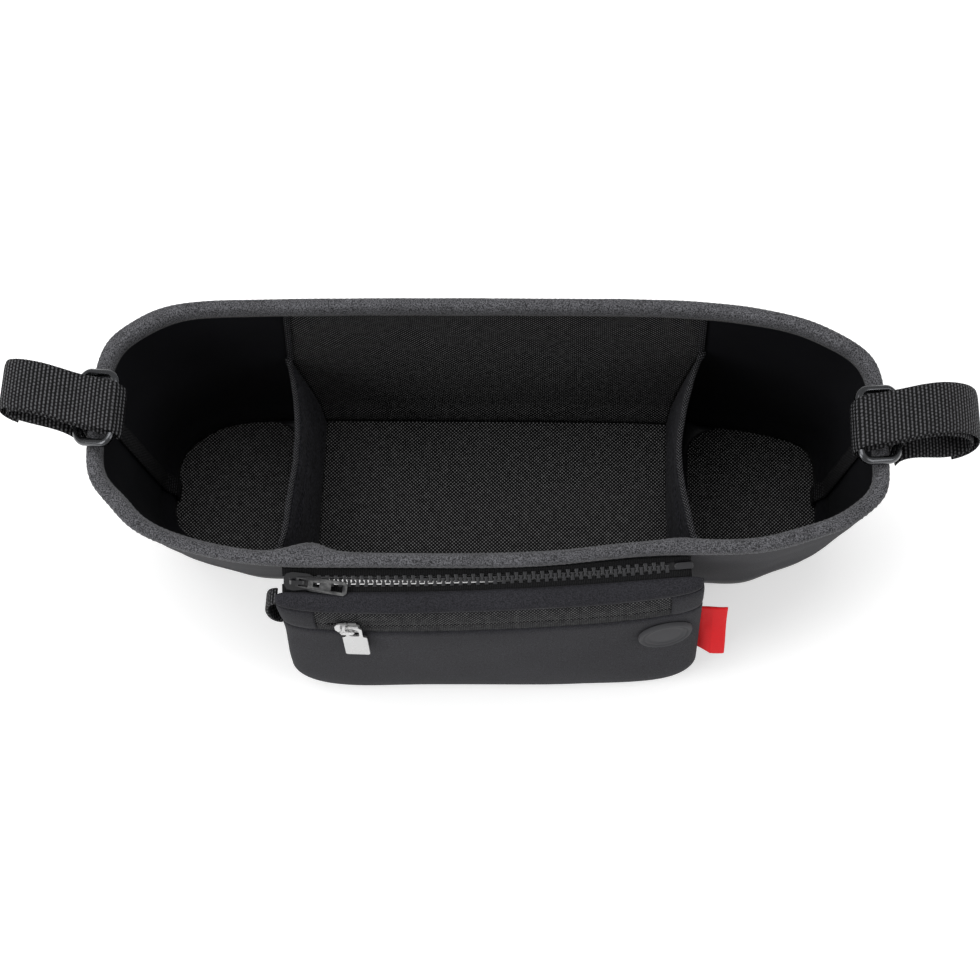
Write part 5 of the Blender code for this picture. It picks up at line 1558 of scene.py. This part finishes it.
def make_pouch_zip():
    """Woven strip over the coil, in two halves, with foam tabs at its ends and the silver slider and pull."""
    length = STRIP_END - STRIP_START
    for half, side in (("upper", 1), ("lower", -1)):
        outer_z = STRIP_TOP + 0.0003 if side > 0 else STRIP_BOTTOM - 0.0003

        def place(u, v, side=side, outer_z=outer_z):
            s = blend(STRIP_START - 0.0004, STRIP_END + 0.0004, u)
            inner_z = STRIP_SPLIT + side * (strip_edge(s) + STRIP_THICKNESS / 2)
            inset = STRIP_THICKNESS / 2 + POUCH_SKIN * 0.45
            ripple = 0.00012 * waves((s, side, 0.0), 0.008, 3.0)
            if v < 0.8:
                z = blend(outer_z, inner_z, v / 0.8)
                fold = 0.00022 * math.sin(math.pi * min(v / 0.8, 1.0))
                return pouch_front(s, z, -inset + fold + ripple)
            return pouch_front(s, inner_z, -inset - STRIP_HEM * (v - 0.8) / 0.2)

        mesh = grid_mesh("zip_strip_" + half, 160, 10, place, (length, 0.0110))
        piece = add_piece("zip_strip_" + half, mesh, finish("strip_weave"), ["pouch_zip_" + half])
        thicken(piece, STRIP_THICKNESS * 0.9)
    for name, sign, limit in (("left", -1, STRIP_START - 0.0004), ("right", 1, STRIP_END + 0.0004)):
        def skin(depth, sign=sign, limit=limit):
            def place(u, v):
                z = blend(STRIP_BOTTOM + 0.0004, STRIP_TOP - 0.0004, v)
                start = abs(limit - POUCH_MIDDLE) / (pouch_half(z, sign) - depth)
                angle = blend(END_EDGE, math.acos(start ** (POUCH_END_ROUND / 2)), u)
                side = -angle if sign > 0 else math.pi + angle
                point = pouch_section(side, z, depth)
                roll = 0.0005 * (1 - ease(min(v, 1 - v) * 5)) + 0.0005 * (1 - ease((1 - u) * 8))
                inward = (pouch_section(side, z, depth + 0.001) - point).normalized()
                return point + inward * (roll if depth == 0.0 else -roll * 0.5)
            return place

        mesh = slab_mesh("pouch_tab_" + name, 24, 14, skin(0.0), skin(POUCH_SKIN), (0.022, 0.018))
        tab = add_piece("pouch_tab_" + name, mesh, finish("foam_cloth"),
                        ["zip_end_tab_" + name])
    node_copy("pouch_slider", "zip_slider_silver", finish("silver_plate"), 0.00022)
    node_copy("pouch_pull", "zip_pull_silver", finish("silver_plate"), 0.00030)


def make_pouch():
    """Front and back skins of the pouch."""
    make_pouch_panel("pouch_front_upper", "pouch_upper_panel", STRIP_TOP, POUCH_TOP, 14, True)
    make_pouch_panel("pouch_front_lower", "pouch_lower_panel", POUCH_BOTTOM, STRIP_BOTTOM, 60, True)
    make_pouch_panel("pouch_back", "pouch_back_panel", POUCH_BOTTOM, STRIP_TOP - 2 * GAP, 40, False, 90)


# Trim

def make_badge():
    """Round rubber badge: a raised rim round a recessed ring and a bare dished middle."""
    profile = [(0.0, 0.00105), (0.40, 0.00100), (0.56, 0.00085), (0.66, 0.00085), (0.71, 0.00120),
               (0.76, 0.00135), (0.80, 0.00110), (0.84, 0.00110), (0.88, 0.00165), (0.93, 0.00185),
               (0.97, 0.00165), (1.0, 0.00100), (1.0, 0.0), (0.5, 0.0)]
    turns = 96
    bm = bmesh.new()
    rings = []
    for share, lift in profile[1:]:
        ring = []
        for i in range(turns):
            angle = 2 * math.pi * i / turns
            reach = BADGE_RADIUS * share
            z = BADGE_Z + reach * math.sin(angle)
            ring.append(bm.verts.new(pouch_front(BADGE_S + reach * math.cos(angle), z, GAP + lift)))
        rings.append(ring)
    middle = bm.verts.new(pouch_front(BADGE_S, BADGE_Z, GAP + profile[0][1]))
    for i in range(turns):
        k = (i + 1) % turns
        bm.faces.new((middle, rings[0][i], rings[0][k]))
        for first, second in zip(rings, rings[1:]):
            bm.faces.new((first[i], second[i], second[k], first[k]))
    bm.faces.new(rings[-1])
    mesh = mesh_from(bm, "badge_disc", outward=True)
    badge = add_piece("badge_disc", mesh, finish("badge_rubber"), ["badge"])
    badge.data.set_sharp_from_angle(angle=math.radians(60.0))


def make_tag():
    """Folded cloth tag caught in the pouch's right seam, a little curled and with a soft fold."""
    start = POUCH_LENGTH / 2 + POUCH_MIDDLE - SEAM_CATCH

    def place(u, share):
        z = TAG_Z + blend(-TAG_LENGTH / 2, TAG_LENGTH / 2, share)
        curl = 0.0015 * math.sin(math.pi * u * 0.5) ** 2 + 0.0005 * u * math.sin(2 * math.pi * share + 0.6)
        lean = TAG_LEAN * (1 - share) * min(2 * u, 1.0)
        v = POUCH_SEAM + pouch_sway(start, z) - curl - lean
        return front_point(start + (TAG_REACH + SEAM_CATCH) * u, v, z)

    def face(sign):
        def side(u, v):
            half = TAG_THICKNESS / 2 * (1.25 - 0.25 * u) * (1 if u < 0.97 else 0.55)
            half *= 1 if 0 < v < 1 else 0.8
            return place(u, v) + Vector((0.0, sign * half, 0.0))
        return side

    mesh = slab_mesh("tag_cloth_fold", 24, 40, face(-1), face(1), (TAG_REACH, TAG_LENGTH))
    piece = add_piece("tag_cloth_fold", mesh, finish("tag_cloth"), ["side_tag"])


def make_wrist_tab():
    """Small webbing loop in the pouch's left seam."""
    start = POUCH_MIDDLE - pouch_half(WRIST_Z, -1) + 0.0006

    def place(u, v):
        angle = math.pi * u
        reach = WRIST_REACH * max(math.sin(angle), 0.0) ** 0.8
        rise = WRIST_LENGTH / 2 * math.cos(angle)
        return front_point(start - reach, POUCH_SEAM + WRIST_WIDTH * (v - 0.5), WRIST_Z - rise)

    length = 2 * WRIST_REACH + WRIST_LENGTH
    mesh = grid_mesh("wrist_loop", 60, 6, place, (length, WRIST_WIDTH))
    piece = add_piece("wrist_loop", mesh, finish("webbing_cloth"), ["wrist_tab"])
    thicken(piece, WRIST_THICKNESS, edge=0.0003)


# Stage

def floor_material():
    """White that the camera sees as paper, while the floor keeps the object's shadow."""
    material = bpy.data.materials.new("studio_white")
    material.use_nodes = True
    tree = material.node_tree
    tree.nodes.remove(tree.nodes["Principled BSDF"])
    ground = tree.nodes.new("ShaderNodeBsdfDiffuse")
    ground.inputs["Color"].default_value = FLOOR_GREY
    light = tree.nodes.new("ShaderNodeEmission")
    path = tree.nodes.new("ShaderNodeLightPath")
    seen = math_node(tree, "MAXIMUM", path.outputs["Is Camera Ray"], path.outputs["Is Glossy Ray"])
    fill(tree, light.inputs["Strength"], math_node(tree, "MULTIPLY", seen, FLOOR_GLOW))
    both = tree.nodes.new("ShaderNodeAddShader")
    tree.links.new(ground.outputs[0], both.inputs[0])
    tree.links.new(light.outputs[0], both.inputs[1])
    tree.links.new(both.outputs[0], tree.nodes["Material Output"].inputs["Surface"])
    return material


def make_floor():
    bm = bmesh.new()
    bmesh.ops.create_grid(bm, x_segments=2, y_segments=2, size=FLOOR_HALF)
    mesh = mesh_from(bm, "studio_floor")
    floor = bpy.data.objects.new("studio_floor", mesh)
    bpy.context.scene.collection.objects.link(floor)
    floor.location.z = -0.0002
    mesh.materials.append(floor_material())


def make_world():
    world = bpy.data.worlds.new("studio_light")
    bpy.context.scene.world = world
    world.use_nodes = True
    tree = world.node_tree
    background = tree.nodes["Background"]
    path = tree.nodes.new("ShaderNodeLightPath")
    seen = path.outputs["Is Camera Ray"]
    background.inputs["Color"].default_value = (1.0, 1.0, 1.0, 1.0)
    fill(tree, background.inputs["Strength"], range_node(tree, seen, 0.0, 1.0, WORLD_LEVEL, 1.0))


def add_lamp(name, place, aim, size, power):
    lamp = bpy.data.lights.new(name, "AREA")
    lamp.shape = "RECTANGLE"
    lamp.size = size[0]
    lamp.size_y = size[1]
    lamp.energy = power
    thing = bpy.data.objects.new(name, lamp)
    bpy.context.scene.collection.objects.link(thing)
    thing.location = place
    thing.rotation_euler = (Vector(aim) - Vector(place)).to_track_quat("-Z", "Y").to_euler()


def make_camera():
    """Camera at the photograph's viewing angle."""
    back = Vector((math.sin(CAMERA_YAW) * math.cos(CAMERA_ELEVATION),
                   -math.cos(CAMERA_YAW) * math.cos(CAMERA_ELEVATION), math.sin(CAMERA_ELEVATION)))
    right = (-back).cross(Vector((0, 0, 1))).normalized()
    up = right.cross(-back)
    tilted_right = right * math.cos(CAMERA_ROLL) + up * math.sin(CAMERA_ROLL)
    tilted_up = up * math.cos(CAMERA_ROLL) - right * math.sin(CAMERA_ROLL)
    data = bpy.data.cameras.new("photo_camera")
    data.sensor_width = SENSOR
    data.lens = CAMERA_LENS
    data.clip_start = 0.01
    camera = bpy.data.objects.new("photo_camera", data)
    bpy.context.scene.collection.objects.link(camera)
    axes = Matrix((tilted_right, tilted_up, back)).transposed().to_4x4()
    camera.matrix_world = Matrix.Translation(CAMERA_TARGET + back * CAMERA_DISTANCE) @ axes
    bpy.context.scene.camera = camera


def make_stage():
    make_floor()
    make_world()
    for lamp in LAMPS:
        add_lamp(*lamp)
    make_camera()
    bpy.context.scene.view_settings.view_transform = "Standard"


# Operators, panel and registration

class ORGANIZER_OT_tub_wall(bpy.types.Operator):
    """Add the foam outer wall."""
    bl_idname = "organizer.tub_wall"
    bl_label = "Tub Wall"

    def execute(self, context):
        make_tub_wall()
        return {"FINISHED"}


class ORGANIZER_OT_rim_band(bpy.types.Operator):
    """Add the knit binding round the rim."""
    bl_idname = "organizer.rim_band"
    bl_label = "Rim Binding"

    def execute(self, context):
        make_rim_band()
        return {"FINISHED"}


class ORGANIZER_OT_base(bpy.types.Operator):
    """Add the tray, its piping and the board."""
    bl_idname = "organizer.base"
    bl_label = "Base Tray"

    def execute(self, context):
        make_base()
        return {"FINISHED"}


class ORGANIZER_OT_lining(bpy.types.Operator):
    """Add the four parts of the lining."""
    bl_idname = "organizer.lining"
    bl_label = "Lining"

    def execute(self, context):
        make_lining()
        return {"FINISHED"}


class ORGANIZER_OT_floors(bpy.types.Operator):
    """Add the woven floors."""
    bl_idname = "organizer.floors"
    bl_label = "Floors"

    def execute(self, context):
        make_floors()
        return {"FINISHED"}


class ORGANIZER_OT_dividers(bpy.types.Operator):
    """Add the two padded dividers, their edges and the coves beside them."""
    bl_idname = "organizer.dividers"
    bl_label = "Dividers"

    def execute(self, context):
        make_dividers()
        make_cup_coves()
        return {"FINISHED"}


class ORGANIZER_OT_end_tapes(bpy.types.Operator):
    """Add the seam tapes at both ends."""
    bl_idname = "organizer.end_tapes"
    bl_label = "Seam Tapes"

    def execute(self, context):
        make_end_tapes()
        return {"FINISHED"}


class ORGANIZER_OT_straps(bpy.types.Operator):
    """Add the strap loops, rings, tabs and hook patches."""
    bl_idname = "organizer.straps"
    bl_label = "Strap Loops"

    def execute(self, context):
        make_straps()
        return {"FINISHED"}


class ORGANIZER_OT_attach_zip(bpy.types.Operator):
    """Add the zip that joins the pouch to the tub."""
    bl_idname = "organizer.attach_zip"
    bl_label = "Upper Zip"

    def execute(self, context):
        make_attach_zip()
        return {"FINISHED"}


class ORGANIZER_OT_pouch(bpy.types.Operator):
    """Add the foam skins of the pouch."""
    bl_idname = "organizer.pouch"
    bl_label = "Pouch Skins"

    def execute(self, context):
        make_pouch()
        return {"FINISHED"}


class ORGANIZER_OT_pouch_zip(bpy.types.Operator):
    """Add the pouch's woven strip, end tabs, slider and pull."""
    bl_idname = "organizer.pouch_zip"
    bl_label = "Pouch Zip"

    def execute(self, context):
        make_pouch_zip()
        return {"FINISHED"}


class ORGANIZER_OT_badge(bpy.types.Operator):
    """Add the bare round badge."""
    bl_idname = "organizer.badge"
    bl_label = "Badge"

    def execute(self, context):
        make_badge()
        return {"FINISHED"}


class ORGANIZER_OT_tag(bpy.types.Operator):
    """Add the cloth tag in the pouch's right seam."""
    bl_idname = "organizer.tag"
    bl_label = "Side Tag"

    def execute(self, context):
        make_tag()
        return {"FINISHED"}


class ORGANIZER_OT_wrist_tab(bpy.types.Operator):
    """Add the webbing loop in the pouch's left seam."""
    bl_idname = "organizer.wrist_tab"
    bl_label = "Wrist Tab"

    def execute(self, context):
        make_wrist_tab()
        return {"FINISHED"}


class ORGANIZER_OT_stage(bpy.types.Operator):
    """Add the floor, the studio light and the camera."""
    bl_idname = "organizer.stage"
    bl_label = "Stage"

    def execute(self, context):
        make_stage()
        return {"FINISHED"}


class ORGANIZER_PT_panel(bpy.types.Panel):
    """Sidebar panel that lists the organizer's pieces, sizes and colours."""
    bl_label = "Pushchair Organizer"
    bl_idname = "ORGANIZER_PT_panel"
    bl_space_type = "VIEW_3D"
    bl_region_type = "UI"
    bl_category = "Organizer"

    def draw(self, context):
        column = self.layout.column(align=True)
        for operator in PIECE_OPERATORS:
            column.operator(operator.bl_idname)
        for settings in (context.scene.organizer_sizes, context.scene.organizer_colours):
            box = self.layout.box()
            for label in settings.bl_rna.properties.keys():
                if label not in ("name", "rna_type"):
                    box.prop(settings, label)


PIECE_OPERATORS = (
    ORGANIZER_OT_tub_wall,
    ORGANIZER_OT_rim_band,
    ORGANIZER_OT_base,
    ORGANIZER_OT_lining,
    ORGANIZER_OT_floors,
    ORGANIZER_OT_dividers,
    ORGANIZER_OT_end_tapes,
    ORGANIZER_OT_straps,
    ORGANIZER_OT_attach_zip,
    ORGANIZER_OT_pouch,
    ORGANIZER_OT_pouch_zip,
    ORGANIZER_OT_badge,
    ORGANIZER_OT_tag,
    ORGANIZER_OT_wrist_tab,
    ORGANIZER_OT_stage,
)
CLASSES = (OrganizerSizes, OrganizerColours) + PIECE_OPERATORS + (ORGANIZER_PT_panel,)


def register():
    for cls in CLASSES:
        bpy.utils.register_class(cls)
    bpy.types.Scene.organizer_sizes = PointerProperty(type=OrganizerSizes)
    bpy.types.Scene.organizer_colours = PointerProperty(type=OrganizerColours)


def unregister():
    del bpy.types.Scene.organizer_colours
    del bpy.types.Scene.organizer_sizes
    for cls in reversed(CLASSES):
        bpy.utils.unregister_class(cls)


def main():
    register()
    for operator in PIECE_OPERATORS:
        name = operator.bl_idname.split(".")[1]
        getattr(bpy.ops.organizer, name)()
    bpy.context.view_layer.update()


if __name__ == "__main__":
    main()
